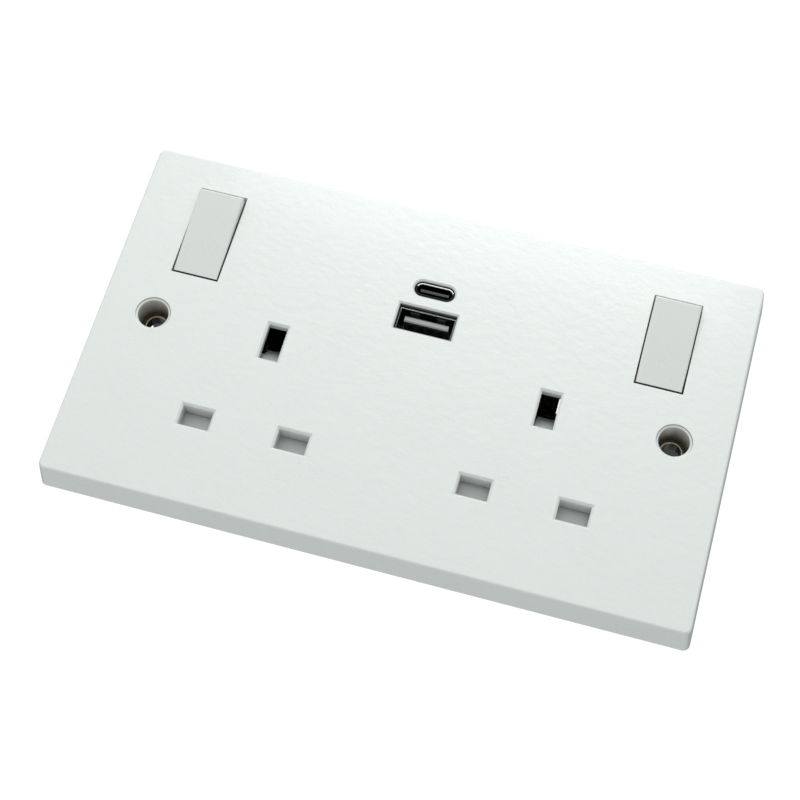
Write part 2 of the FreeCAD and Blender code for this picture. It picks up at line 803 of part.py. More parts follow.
def make_rear_housing():
    body = new_body("rear_housing")

    def plan(inset):
        wide = base_half_width - inset
        waist = notch_half_width - inset
        notch = notch_half_height + inset
        top = base_top - inset
        bottom = -(s.base_bottom - inset)
        half = [(wide, bottom), (wide, -notch), (waist, -notch), (waist, notch), (wide, notch), (wide, top)]
        return outline(half + [(-u, v) for u, v in reversed(half)])

    add(body, "block", "y", -s.base_front, base_back, plan(dim(0)))
    notch_limit = notch_half_height.value + s.overrun.value
    round_edges(
        body,
        "outer_corners",
        s.base_corner_radius,
        lambda edge: runs_along(edge, "y") and abs(edge.Vertexes[0].Point.z) > notch_limit,
    )
    cut(body, "hollow", "y", -s.base_front, base_floor, plan(s.base_wall))

    bay_half = s.board_half_width + s.guide_gap
    bay_low = s.board_bottom - s.guide_gap
    bay_high = board_top + s.guide_gap
    bay_wall = span(
        -bay_half - s.bay_wall,
        bay_half + s.bay_wall,
        bay_low - s.bay_wall + s.guide_gap,
        base_top - s.base_wall / 2,
    )
    add(body, "bay_walls", "y", -s.base_front, base_floor, bay_wall)
    pockets = []
    walls = []
    for name, (x, z) in terminal_places().items():
        low = z - s.block_height / 2 - s.wire_room
        high = z + s.block_height / 2 + s.slide_gap
        if name == "neutral":
            low = -s.base_bottom
        pockets.append(span(x - s.pocket_half_width, x + s.pocket_half_width, low, high))
        wall_low = low if name == "neutral" else low - s.pocket_wall
        walls.append(
            span(
                x - s.pocket_half_width - s.pocket_wall,
                x + s.pocket_half_width + s.pocket_wall,
                wall_low,
                high + s.pocket_wall,
            )
        )
    for index, wall in enumerate(walls):
        add(body, f"pocket_walls_{index}", "y", pocket_front, base_floor, wall)
    boss_width = 2 * s.screw_boss_half
    bosses = [rectangle(x, z, boss_width, boss_width) for x, z in screw_places()]
    add(body, "screw_bosses", "y", s.screw_boss_start, base_floor, *bosses)

    cells = []
    for x, z in pin_places():
        for hand in HANDS:
            near = x + hand * (s.clip_width / 2 + s.slide_gap)
            far = near + hand * s.cell_wall
            cell_half = s.line_slot_height / 2 + s.overrun
            cells.append(span(*between(near, far), z - cell_half, z + cell_half))
    add(body, "clip_cells", "y", -s.base_front, base_floor, *cells)
    ledges = [
        span(
            side * outlet_x - s.earth_pad_width / 2,
            side * outlet_x + s.earth_pad_width / 2,
            s.earth_height - s.earth_pad_height / 2 - s.slide_gap - s.cell_wall,
            s.earth_height - s.earth_pad_height / 2 - s.slide_gap,
        )
        for side in HANDS
    ]
    add(body, "earth_ledges", "y", 0, base_floor, *ledges)

    for index, pocket in enumerate(pockets):
        cut(body, f"terminal_pocket_{index}", "y", s.strip_plane, base_back, pocket)
    bay = span(-bay_half, bay_half, bay_low, bay_high)
    cut(body, "bay", "y", -s.base_front, board_back + s.seat_gap, bay)
    step = span(
        -bay_half + s.bay_step, bay_half - s.bay_step, bay_low + s.bay_step, bay_high - s.bay_step
    )
    cut(body, "bay_window", "y", -s.base_front, base_back, step)
    bores = [disc(x, z, s.screw_radius + s.running_gap) for x, z in screw_places()]
    cut(body, "screw_bores", "y", s.screw_boss_start, base_back, *bores)
    seats = [disc(x, z, s.counterbore_radius) for x, z in screw_places()]
    cut(body, "screw_seats", "y", s.screw_seat, base_back, *seats)
    slot_half = s.earth_strip_height / 2 + s.slide_gap
    strap_slot = outline(
        [
            (-s.base_front, -slot_half),
            (s.slide_gap, -slot_half),
            (s.slide_gap, slot_half),
            (-s.base_front, slot_half),
        ]
    )
    reach = notch_half_width + s.overrun
    cut(body, "strap_slots", "x", -reach, reach, strap_slot)
    return body


def make_rocker(name, side):
    body = new_body(f"rocker_{name}")
    face = -(s.pivot_depth + s.rocker_proud)
    back = face + s.rocker_depth
    half = s.well_width / 2 - s.rocker_side_gap
    profile = outline(
        [
            (face, -s.rocker_face_length / 2),
            (back, -s.rocker_back_length / 2),
            (back, s.rocker_back_length / 2),
            (face, s.rocker_face_length / 2),
        ]
    )
    add(body, "paddle", "x", -half, half, profile)
    round_edges(body, "finger_edges", s.rocker_edge_radius, lambda edge: lies_at(edge, "y", face.value))
    inside = rectangle(
        dim(0), dim(0), 2 * (half - s.rocker_side_wall), s.rocker_back_length - 2 * s.rocker_side_wall
    )
    cut(body, "hollow", "y", face + s.rocker_face_wall, back, inside)
    add(body, "nose", "y", face + s.rocker_face_wall / 2, s.nose_reach, disc(dim(0), dim(0), s.nose_radius))
    cut(body, "nose_bore", "y", -s.nose_bore_floor, s.nose_reach, disc(dim(0), dim(0), s.nose_bore_radius))
    outer = s.well_width / 2 + s.well_wall - s.trunnion_end_gap
    inner = half - s.rocker_side_wall / 2
    add(body, "trunnion_right", "x", inner, outer, disc(dim(0), dim(0), s.trunnion_radius))
    add(body, "trunnion_left", "x", -outer, -inner, disc(dim(0), dim(0), s.trunnion_radius))
    place(body, side * rocker_x, pivot_y, s.rocker_height, (1, 0, 0), s.rocker_tilt)
    return body


def make_plunger(name, side):
    body = new_body(f"plunger_{name}")
    radius = s.nose_bore_radius - s.running_gap
    add(body, "stem", "y", s.plunger_seat, plunger_reach, disc(dim(0), dim(0), radius))
    end = plunger_reach.value
    bevel_edges(body, "tip", s.plunger_tip_bevel, lambda edge: lies_at(edge, "y", end))
    place(body, side * rocker_x, pivot_y, s.rocker_height, (1, 0, 0), s.rocker_tilt)
    return body


def coil(name, radius, wire, length, turns):
    """A spring wound round its own Z axis from 0 up to its length."""
    steps = int(turns.value * STEPS_PER_TURN)
    sections = []
    for step in range(steps + 1):
        turned = 360 * step / STEPS_PER_TURN
        section = doc.addObject("Part::RegularPolygon", f"{name}_section_{step}")
        section.Polygon = WIRE_SIDES
        bind(section, "Circumradius", wire / math.sqrt(2))
        around = FreeCAD.Rotation(FreeCAD.Vector(0, 0, 1), turned)
        upright = FreeCAD.Rotation(FreeCAD.Vector(1, 0, 0), 90)
        squared = FreeCAD.Rotation(FreeCAD.Vector(0, 0, 1), 180 / WIRE_SIDES)
        section.Placement.Rotation = around * upright * squared
        bind(section, "Placement.Base.x", radius * round(math.cos(math.radians(turned)), 6))
        bind(section, "Placement.Base.y", radius * round(math.sin(math.radians(turned)), 6))
        bind(section, "Placement.Base.z", wire / 2 + (length - wire) * step / steps)
        sections.append(section)
    wound = doc.addObject("Part::Loft", f"{name}_wire")
    wound.Sections = sections
    wound.Solid = True
    wound.Ruled = True
    return group(name, [wound])


def make_plunger_spring(name, side):
    length = s.plunger_seat + s.nose_bore_floor
    spring = coil(
        f"plunger_spring_{name}", s.nose_spring_radius, s.nose_spring_wire, length, s.nose_spring_turns
    )
    start = -s.nose_bore_floor
    place(
        spring,
        side * rocker_x,
        pivot_y + start * cosine(s.rocker_tilt),
        s.rocker_height + start * sine(s.rocker_tilt),
        (1, 0, 0),
        s.rocker_tilt - 90,
    )
    return spring


def make_switch_contact(name, side):
    body = new_body(f"switch_contact_{name}")
    half = s.strip / 2
    length = s.seesaw_half_length
    button = half + s.button_thickness
    foot = length - s.button_height
    profile = outline(
        [
            (-half, -length),
            (half, -length),
            (half, foot),
            (button, foot),
            (button, length),
            (-half, length),
        ]
    )
    add(body, "blade", "x", -s.seesaw_width / 2, s.seesaw_width / 2, profile)
    place(body, side * rocker_x, seesaw_y, s.rocker_height, (1, 0, 0), -s.seesaw_tilt)
    return body


def make_shutter(name, side):
    body = new_body(f"shutter_{name}")
    x = side * outlet_x
    half = s.shutter_width / 2
    blade = outline(
        [
            (blade_front, blade_low),
            (blade_back, blade_low),
            (blade_back, blade_high),
            (blade_front + s.shutter_slope, blade_high),
        ]
    )
    add(body, "blade", "x", x - half, x + half, blade)
    front = face_y + s.ramp_front
    back = face_y + s.ramp_back
    foot = s.ramp_top - s.ramp_rise
    stem_front = blade_front + s.shutter_slope
    stem_top = foot + stem_front - front
    stem = span(x - s.stem_width / 2, x + s.stem_width / 2, blade_high - s.overrun, stem_top)
    add(body, "stem", "y", stem_front, blade_back, stem)
    ramp = outline(
        [
            (front, foot - s.ramp_foot),
            (back, foot - s.ramp_foot),
            (back, s.ramp_top),
            (front + s.ramp_rise, s.ramp_top),
            (front, foot),
        ]
    )
    add(body, "ramp", "x", x - s.ramp_width / 2, x + s.ramp_width / 2, ramp)
    seat_front = blade_front - s.spring_radius - s.spring_wire / 2
    seat = outline(
        [
            (seat_front, blade_low),
            (blade_back, blade_low),
            (blade_back, blade_low + s.shutter_seat_height),
            (seat_front, blade_low + s.shutter_seat_height),
        ]
    )
    add(body, "spring_seat", "x", x - s.stem_width / 2, x + s.stem_width / 2, seat)
    peg = disc(x, blade_front, s.peg_radius)
    add(body, "peg", "z", blade_low - s.peg_length, blade_low + s.overrun, peg)
    return body


def make_shutter_spring(name, side):
    spring = coil(
        f"shutter_spring_{name}", s.spring_radius, s.spring_wire, s.shutter_spring_length, s.spring_turns
    )
    place(spring, side * outlet_x, blade_front, spring_seat_z + s.seat_gap)
    return spring


def line_clip(z, back):
    """Outline of a folded pin clip in Y and Z, open to the front."""
    leaf = s.clip_leaf
    stations = [
        (-s.clip_front, s.clip_mouth),
        (s.clip_nip_front, s.clip_nip),
        (s.clip_nip_back, s.clip_nip + leaf / 2),
        (back, s.clip_root),
    ]
    outer = [(y, height + leaf) for y, height in stations[:-1]] + [(back + leaf, s.clip_root + leaf)]
    upper = [(y, z + height) for y, height in outer]
    lower = [(y, z - height) for y, height in reversed(outer)]
    inner_low = [(y, z - height) for y, height in stations]
    inner_high = [(y, z + height) for y, height in reversed(stations)]
    return outline(upper + lower + inner_low + inner_high)


def make_live_contact(name, side):
    body = new_body(f"live_contact_{name}")
    pin_x = side * outlet_x + s.line_pitch / 2
    half = s.clip_width / 2
    tab_low = pin_z + s.clip_root
    leg_in = side * (live_leg_x - s.live_leg_half)
    leg_out = side * (live_leg_x + s.live_leg_half)
    tip = side * (rocker_x + s.live_arm_reach)
    strip = outline(
        [
            (pin_x - side * half, tab_low),
            (pin_x - side * half, -s.live_link_high),
            (leg_in, -s.live_link_high),
            (leg_in, rivet_z + s.live_arm_half),
            (tip, rivet_z + s.live_arm_half),
            (tip, rivet_z - s.live_arm_half),
            (leg_out, rivet_z - s.live_arm_half),
            (leg_out, -s.live_link_low),
            (pin_x + side * half, -s.live_link_low),
            (pin_x + side * half, tab_low),
        ]
    )
    add(body, "strip", "y", s.riser_plane, riser_back, strip)
    add(body, "clip", "x", pin_x - half, pin_x + half, line_clip(pin_z, s.line_clip_back))
    rivet = disc(side * rocker_x, rivet_z, s.rivet_radius)
    add(body, "rivet", "y", rivet_y, s.riser_plane, rivet)
    return body


def make_live_bar():
    body = new_body("live_bar")
    arm_low = s.rocker_height - s.feed_arm_half
    arm_high = s.rocker_height + s.feed_arm_half
    leg_outer = feed_leg_x + s.feed_leg_half
    leg_inner = feed_leg_x - s.feed_leg_half
    arm_end = rocker_x + s.feed_arm_reach
    tab = s.clip_width / 2
    tab_top = s.live_terminal_z + s.block_height / 2
    right = [
        (leg_outer, s.feed_low),
        (leg_outer, arm_low),
        (arm_end, arm_low),
        (arm_end, arm_high),
        (leg_inner, arm_high),
        (leg_inner, s.feed_high),
    ]
    terminal_tab = [
        (s.live_terminal_x + tab, s.feed_high),
        (s.live_terminal_x + tab, tab_top),
        (s.live_terminal_x - tab, tab_top),
        (s.live_terminal_x - tab, s.feed_high),
    ]
    left = [(-u, v) for u, v in reversed(right)]
    add(body, "strip", "y", s.strip_plane, strip_back, outline(right + terminal_tab + left))
    tip = seesaw_y + s.strip / 2 + s.fulcrum_gap
    shoulder = tip + s.fulcrum_half_height
    fulcrum = outline(
        [
            (tip, s.rocker_height),
            (shoulder, s.rocker_height - s.fulcrum_half_height),
            (s.strip_plane + s.strip / 2, s.rocker_height - s.fulcrum_half_height),
            (s.strip_plane + s.strip / 2, s.rocker_height + s.fulcrum_half_height),
            (shoulder, s.rocker_height + s.fulcrum_half_height),
        ]
    )
    for name, side in SIDES.items():
        centre = side * rocker_x
        low, high = centre - s.fulcrum_half_width, centre + s.fulcrum_half_width
        add(body, f"fulcrum_{name}", "x", low, high, fulcrum)
    return body


def make_neutral_bar():
    body = new_body("neutral_bar")
    half = s.clip_width / 2
    low, high, top = -s.neutral_strip_low, -s.neutral_strip_high, -s.neutral_tab_top
    left_x = -outlet_x - s.line_pitch / 2
    right_x = outlet_x - s.line_pitch / 2
    block_top = -s.neutral_terminal_z + s.block_height / 2
    strip = outline(
        [
            (left_x - half, low),
            (right_x + half, low),
            (right_x + half, top),
            (right_x - half, top),
            (right_x - half, high),
            (half, high),
            (half, block_top),
            (-half, block_top),
            (-half, high),
            (left_x + half, high),
            (left_x + half, top),
            (left_x - half, top),
        ]
    )
    add(body, "strip", "y", s.strip_plane, strip_back, strip)
    for name, x in (("left", left_x), ("right", right_x)):
        add(body, f"clip_{name}", "x", x - half, x + half, line_clip(pin_z, s.strip_plane))
    return body


def make_earth_bar():
    body = new_body("earth_bar")
    fold_in = earth_fold_x - s.strip / 2
    fold_out = earth_fold_x + s.strip / 2
    strap_end = fixing_x + s.earth_strap_margin
    strap_front = -s.fixing_boss_gap + s.running_gap
    strap_back = strap_front + s.strip
    right = [
        (fold_in, s.strip_plane),
        (fold_in, strap_front),
        (strap_end, strap_front),
        (strap_end, strap_back),
        (fold_out, strap_back),
        (fold_out, strip_back),
    ]
    left = [(-u, v) for u, v in reversed(right)]
    half = s.earth_strip_height / 2
    add(body, "strip", "z", -half, half, outline(right + left))
    pads = [
        rectangle(side * outlet_x, s.earth_height, s.earth_pad_width, s.earth_pad_height) for side in HANDS
    ]
    add(body, "pads", "y", s.strip_plane, strip_back, *pads)
    windows = [
        rectangle(side * outlet_x, s.earth_height, s.earth_window_width, s.earth_window_height)
        for side in HANDS
    ]
    cut(body, "windows", "y", s.strip_plane, strip_back, *windows)
    leaf = s.clip_leaf
    root = s.earth_window_width / 2
    stations = [
        (s.earth_mouth, dim(0)),
        (s.earth_nip, s.clip_nip_front),
        (s.earth_nip, s.clip_nip_back),
        (root, strip_back),
    ]
    leaf_low = s.earth_height - s.earth_leaf_height / 2
    for name, side in SIDES.items():
        for hand in HANDS:
            centre = side * outlet_x
            inner = [(centre + hand * u, v) for u, v in stations]
            outer = [(centre + hand * (u + leaf), v) for u, v in reversed(stations)]
            label = f"leaf_{name}_{'inner' if hand * side < 0 else 'outer'}"
            add(body, label, "z", leaf_low, leaf_low + s.earth_leaf_height, outline(inner + outer))
    hole_radius = s.eyelet_bore_radius + s.eyelet_wall + s.running_gap
    holes = [disc(side * fixing_x, dim(0), hole_radius) for side in HANDS]
    cut(body, "eyelet_holes", "y", strap_front, strap_back, *holes)
    return body


def make_eyelet(name, side):
    """A brass bush pressed in the plate with its thin lip proud, rolled over behind the earth strap."""
    body = new_body(f"eyelet_{name}")
    bore = s.eyelet_bore_radius
    tube = bore + s.eyelet_wall
    lip_front = face_y + s.head_recess_depth - s.eyelet_lip
    strap_back = -s.fixing_boss_gap + s.running_gap + s.strip
    sketch = sketch_on(body, "section", "z", 0)
    section = outline(
        [
            (bore, lip_front),
            (tube, lip_front),
            (tube, strap_back),
            (s.eyelet_roll_radius, strap_back),
            (s.eyelet_roll_radius, s.eyelet_roll_end),
            (bore, s.eyelet_roll_end),
        ]
    )
    fill(sketch, section)
    turned = body.newObject("PartDesign::Revolution", "turned")
    turned.Profile = sketch
    turned.ReferenceAxis = (sketch, ["V_Axis"])
    body.Tip = turned
    place(body, side * fixing_x, 0, 0)
    return body


def make_terminal(name, x, z):
    """A brass block with a wire hole from below and a tapped hole from the back."""
    body = new_body(f"terminal_{name}")
    block = rectangle(x, z, s.block_width, s.block_height)
    front = strip_back
    back = strip_back + s.block_depth
    add(body, "block", "y", front, back, block)
    low = z - s.block_height / 2
    wire_hole = rectangle(x, front + s.wire_hole_depth, s.wire_hole_width, s.wire_hole_height)
    cut(body, "wire_hole", "z", low, low + s.block_height, wire_hole)
    tapped = disc(x, z, s.clamp_screw_radius + s.running_gap)
    cut(body, "tapped_hole", "y", front + s.wire_hole_depth, back, tapped)
    return body


def make_clamp_screw(name, x, z):
    tip = strip_back + s.wire_hole_depth + s.wire_hole_height / 2 + s.seat_gap
    shank = rod(f"shank_{name}", s.clamp_screw_radius, s.clamp_screw_length, x, tip, z)
    head = tip + s.clamp_screw_length
    reach = s.clamp_screw_radius + s.overrun
    slot = box(
        f"slot_{name}",
        (x - reach, head - s.screw_slot_depth, z - s.clamp_screw_slot / 2),
        (x + reach, head + s.overrun, z + s.clamp_screw_slot / 2),
    )
    return less(f"terminal_screw_{name}", shank, slot)


def make_housing_screws():
    screws = []
    for index, (x, z) in enumerate(screw_places()):
        start = s.screw_seat - s.screw_length
        shank = rod(f"thread_{index}", s.screw_radius, s.screw_length, x, start, z)
        head = rod(f"head_{index}", s.screw_head_radius, s.screw_head_height, x, s.screw_seat, z)
        whole = doc.addObject("Part::MultiFuse", f"screw_blank_{index}")
        whole.Shapes = [shank, head]
        top = s.screw_seat + s.screw_head_height
        arms = []
        half = s.screw_slot_width / 2
        reach = s.screw_slot_reach
        for arm, (wide, tall) in enumerate(((reach, half), (half, reach))):
            low = (x - wide, top - s.screw_slot_depth, z - tall)
            high = (x + wide, top + s.overrun, z + tall)
            arms.append(box(f"recess_{index}_{arm}", low, high))
        recess = doc.addObject("Part::MultiFuse", f"recess_{index}")
        recess.Shapes = arms
        screws.append(less(f"screw_{index}", whole, recess))
    return group("housing_screws", screws)


def make_usb_a():
    wall = s.usb_shell_wall
    front = face_y + s.usb_a_set_back
    z = s.usb_a_height
    shell = new_body("usb_a_shell")
    add(shell, "tube", "y", front, s.board_front, rectangle(dim(0), z, s.usb_a_width, s.usb_a_thickness))
    inner = rectangle(dim(0), z, s.usb_a_width - 2 * wall, s.usb_a_thickness - 2 * wall)
    cut(shell, "inside", "y", front, s.board_front, inner)

    tongue = new_body("usb_a_tongue")
    fit = wall + s.running_gap
    block = rectangle(dim(0), z, s.usb_a_width - 2 * fit, s.usb_a_thickness - 2 * fit)
    block_front = s.board_front - s.connector_body_depth
    add(tongue, "block", "y", block_front, s.board_front, block)
    low = z + s.usb_a_tongue_rise - s.usb_a_tongue_thickness / 2
    high = low + s.usb_a_tongue_thickness
    tip = front + s.usb_a_tongue_set_back
    bevel = s.usb_a_tongue_bevel
    blade = outline(
        [
            (tip + bevel, low),
            (block_front + s.overrun, low),
            (block_front + s.overrun, high),
            (tip + bevel, high),
            (tip, high - bevel),
            (tip, low + bevel),
        ]
    )
    half = s.usb_a_tongue_width / 2
    add(tongue, "blade", "x", -half, half, blade)

    pads = []
    for index in range(USB_A_PADS):
        centre = (index - (USB_A_PADS - 1) / 2) * s.usb_a_pad_pitch
        strip_low = (centre - s.usb_a_pad_width / 2, tip + 2 * bevel, low - s.usb_a_pad_height)
        strip_high = (centre + s.usb_a_pad_width / 2, block_front - s.seat_gap, low)
        pads.append(box(f"usb_a_pad_{index}", strip_low, strip_high))
    return [shell, tongue, group("usb_a_contacts", pads)]


def make_usb_c():
    wall = s.usb_shell_wall
    front = face_y + s.usb_c_set_back
    z = s.usb_c_height
    shell = new_body("usb_c_shell")
    add(shell, "tube", "y", front, s.board_front, stadium(dim(0), z, s.usb_c_width, s.usb_c_thickness))
    inner = stadium(dim(0), z, s.usb_c_width - 2 * wall, s.usb_c_thickness - 2 * wall)
    cut(shell, "inside", "y", front, s.board_front, inner)

    tongue = new_body("usb_c_tongue")
    fit = wall + s.running_gap
    block_front = s.board_front - s.connector_body_depth
    block = stadium(dim(0), z, s.usb_c_width - 2 * fit, s.usb_c_thickness - 2 * fit)
    add(tongue, "block", "y", block_front, s.board_front, block)
    blade = rectangle(dim(0), z, s.usb_c_tongue_width, s.usb_c_tongue_thickness)
    tip = front + s.usb_c_tongue_set_back
    add(tongue, "blade", "y", tip, block_front + s.overrun, blade)
    return [shell, tongue]


def make_usb_supply():
    board = new_body("usb_board")
    area = span(-s.board_half_width, s.board_half_width, s.board_bottom, board_top)
    add(board, "laminate", "y", s.board_front, board_back, area)

    core = new_body("transformer_core")
    core_front = board_back + s.winding_bulge
    core_back = core_front + s.core_depth
    block = rectangle(s.core_x, s.core_z, s.core_width, s.core_height)
    add(core, "block", "y", core_front, core_back, block)
    limb = s.core_limb
    window_low = s.core_z - s.core_height / 2 + limb
    window_high = s.core_z + s.core_height / 2 - limb
    left = s.core_x - s.core_width / 2 + limb
    right = s.core_x + s.core_width / 2 - limb
    limb_left, limb_right = s.core_x - limb / 2, s.core_x + limb / 2
    windows = [
        span(left, limb_left, window_low, window_high),
        span(limb_right, right, window_low, window_high),
    ]
    cut(core, "windows", "y", core_front, core_back, *windows)

    winding = new_body("transformer_winding")
    gap = s.guide_gap
    low, high = window_low + gap, window_high - gap
    ring = span(left + gap, right - gap, board_back, core_back + s.winding_bulge)
    add(winding, "coil", "z", low, high, ring)
    hole = span(limb_left - gap, limb_right + gap, core_front, core_back)
    cut(winding, "limb_hole", "z", low, high, hole)

    big = []
    for index, rise in enumerate(HANDS):
        z = s.core_z + rise * (s.big_can_radius + gap)
        big.append(rod(f"big_can_{index}", s.big_can_radius, s.big_can_length, -s.big_can_x, board_back, z))
    small_x = s.core_x - s.core_width / 2 - s.small_can_radius
    small_z = s.board_bottom + s.small_can_radius + s.bay_step + s.slide_gap
    small = rod("output_capacitor", s.small_can_radius, s.small_can_length, small_x, board_back, small_z)
    return [board, core, winding, group("input_capacitors", big), small]


def make_usb_cover():
    body = new_body("usb_cover")
    front = base_back + s.running_gap
    back = front + s.cover_depth
    half = s.cover_half_width
    add(body, "cap", "y", front, back, span(-half, half, s.cover_bottom, cover_top))
    round_edges(body, "cap_corners", s.base_corner_radius, lambda edge: runs_along(edge, "y"))
    wall = s.cover_wall
    inner = half - s.cover_rim
    inside = span(-inner, inner, s.cover_bottom + s.cover_rim, cover_top - s.cover_rim)
    cut(body, "hollow", "y", front, back - wall, inside)
    middle = (s.cover_bottom + cover_top) / 2
    vents = [
        rectangle(step * s.vent_pitch, middle, s.vent_width, s.vent_length)
        for step in range(-VENTS_EACH_SIDE, VENTS_EACH_SIDE + 1)
    ]
    cut(body, "vents", "y", back - wall, back, *vents)
    edge = s.board_half_width + s.seat_gap - s.bay_step
    legs = []
    for hand in HANDS:
        near, far = hand * (edge - s.clip_leg_thickness), hand * edge
        leg_half = s.clip_leg_width / 2
        legs.append(span(*between(near, far), middle - leg_half, middle + leg_half))
    add(body, "clip_legs", "y", front - s.clip_leg_reach, back - wall / 2, *legs)
    return body


def build():
    parts = [make_faceplate(), make_rear_housing()]
    for name, side in SIDES.items():
        parts += [
            make_rocker(name, side),
            make_plunger(name, side),
            make_plunger_spring(name, side),
            make_switch_contact(name, side),
            make_shutter(name, side),
            make_shutter_spring(name, side),
            make_live_contact(name, side),
            make_eyelet(name, side),
        ]
    parts += [make_live_bar(), make_neutral_bar(), make_earth_bar(), make_housing_screws()]
    for name, (x, z) in terminal_places().items():
        parts += [make_terminal(name, x, z), make_clamp_screw(name, x, z)]
    parts += make_usb_a() + make_usb_c() + make_usb_supply()
    parts.append(make_usb_cover())
    return parts


parts = build()
doc.recompute()
for item in doc.Objects:
    if "Invalid" in item.State or "Error" in item.State:
        raise RuntimeError(f"{item.Name} failed: {item.State}")
for part in parts:
    if part.Shape.isNull() or not part.Shape.isValid():
        raise RuntimeError(f"{part.Label} has no valid shape")

os.makedirs("parts", exist_ok=True)
for part in parts:
    part.Shape.exportStep(f"parts/{part.Label}.step")
    size = part.Shape.BoundBox
    print(part.Label, len(part.Shape.Solids), round(part.Shape.Volume, 1), size)
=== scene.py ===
"""Looks for a double wall socket with two rocker switches and two USB outlets.

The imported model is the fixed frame. Its solids keep their shapes and get their finishes here, and
what is too fine for the solids is added: round-wire springs, gold pads, spring leaves in the larger
USB shell, and the small parts and solder of the circuit board.
Sizes are in metres in the part's own frame: X right, Y back into the wall, Z up.
"""

import logging
import math
from dataclasses import dataclass
from enum import Enum
from typing import Any

import bpy
import numpy as np
from mathutils import Matrix, Vector


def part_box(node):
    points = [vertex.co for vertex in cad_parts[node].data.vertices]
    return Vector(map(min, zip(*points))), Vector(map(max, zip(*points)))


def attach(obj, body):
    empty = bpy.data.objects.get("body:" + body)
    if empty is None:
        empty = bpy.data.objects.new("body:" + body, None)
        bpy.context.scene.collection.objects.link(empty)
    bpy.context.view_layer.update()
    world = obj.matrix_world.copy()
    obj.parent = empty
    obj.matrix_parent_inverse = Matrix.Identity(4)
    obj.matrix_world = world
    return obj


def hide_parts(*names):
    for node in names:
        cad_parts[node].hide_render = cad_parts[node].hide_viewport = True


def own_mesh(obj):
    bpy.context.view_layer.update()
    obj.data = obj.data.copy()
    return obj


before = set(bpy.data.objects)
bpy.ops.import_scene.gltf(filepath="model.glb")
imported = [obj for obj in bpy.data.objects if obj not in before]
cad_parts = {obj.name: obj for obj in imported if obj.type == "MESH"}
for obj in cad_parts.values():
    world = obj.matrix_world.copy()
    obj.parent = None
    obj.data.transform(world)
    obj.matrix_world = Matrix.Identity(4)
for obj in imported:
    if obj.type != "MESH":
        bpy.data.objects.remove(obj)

LOG = logging.getLogger("wall_socket")
Triple = tuple[float, float, float]
Span = tuple[float, float]
MM = 0.001

FACE_Y = -9.4 * MM
FIXING_X = 60.3 * MM
ROCKER_X = 54.25 * MM
ROCKER_MIDDLE_Z = 22.6 * MM


class Side(Enum):
    """The two halves of the socket, seen from the front."""

    LEFT = "left"
    RIGHT = "right"


class Lay(Enum):
    """The way in which the marks of rolling or drawing run, as factors on X, Y and Z."""

    ALONG_X = (0.06, 1.0, 1.0)
    ALONG_Y = (1.0, 0.06, 1.0)
    ALONG_Z = (1.0, 1.0, 0.06)
    NONE = (1.0, 1.0, 1.0)


class Signal:
    """The output of a shader node, with arithmetic that adds Math nodes."""

    def __init__(self, bench: "Bench", socket: bpy.types.NodeSocket) -> None:
        """Wraps one output.

        Args:
            bench: the node tree's builder.
            socket: the output socket to wrap.
        """
        self.bench = bench
        self.socket = socket

    def _math(
        self, operation: str, first: "Signal | float", second: "Signal | float"
    ) -> "Signal":
        """Adds one Math node.

        Args:
            operation: the Math node's operation.
            first: its first value.
            second: its second value.

        Returns:
            The node's result.
        """
        settings = {"operation": operation}
        return self.bench.signal("ShaderNodeMath", settings, {0: first, 1: second})

    def __add__(self, other: "Signal | float") -> "Signal":
        """Sum of two values."""
        return self._math("ADD", self, other)

    def __radd__(self, other: float) -> "Signal":
        """Sum with a plain number on the left."""
        return self._math("ADD", other, self)

    def __sub__(self, other: "Signal | float") -> "Signal":
        """Difference of two values."""
        return self._math("SUBTRACT", self, other)

    def __mul__(self, other: "Signal | float") -> "Signal":
        """Product of two values."""
        return self._math("MULTIPLY", self, other)

    def __pow__(self, power: float) -> "Signal":
        """The value to a power."""
        return self._math("POWER", self, power)

    def __abs__(self) -> "Signal":
        """The value without its sign."""
        return self._math("ABSOLUTE", self, 0.0)

    def above(self, limit: float) -> "Signal":
        """1 where the value is over the limit, else 0."""
        return self._math("GREATER_THAN", self, limit)

    def below(self, limit: float) -> "Signal":
        """1 where the value is under the limit, else 0."""
        return self._math("LESS_THAN", self, limit)

    def within(self, span: Span) -> "Signal":
        """1 where the value lies between the span's two ends, else 0."""
        return self.above(span[0]) * self.below(span[1])

    def ramp(self, span: Span) -> "Signal":
        """Rises evenly from 0 at the span's low end to 1 at its high one.

        Args:
            span: the values where the rise starts and ends.

        Returns:
            The share of the way, from 0 to 1.
        """
        inputs = {"Value": self, "From Min": span[0], "From Max": span[1]}
        return self.bench.signal("ShaderNodeMapRange", None, inputs)

    def parts(self) -> "tuple[Signal, Signal, Signal]":
        """The X, Y and Z of a place."""
        split = self.bench.node("ShaderNodeSeparateXYZ", None, {0: self})
        return tuple(Signal(self.bench, output) for output in split.outputs)


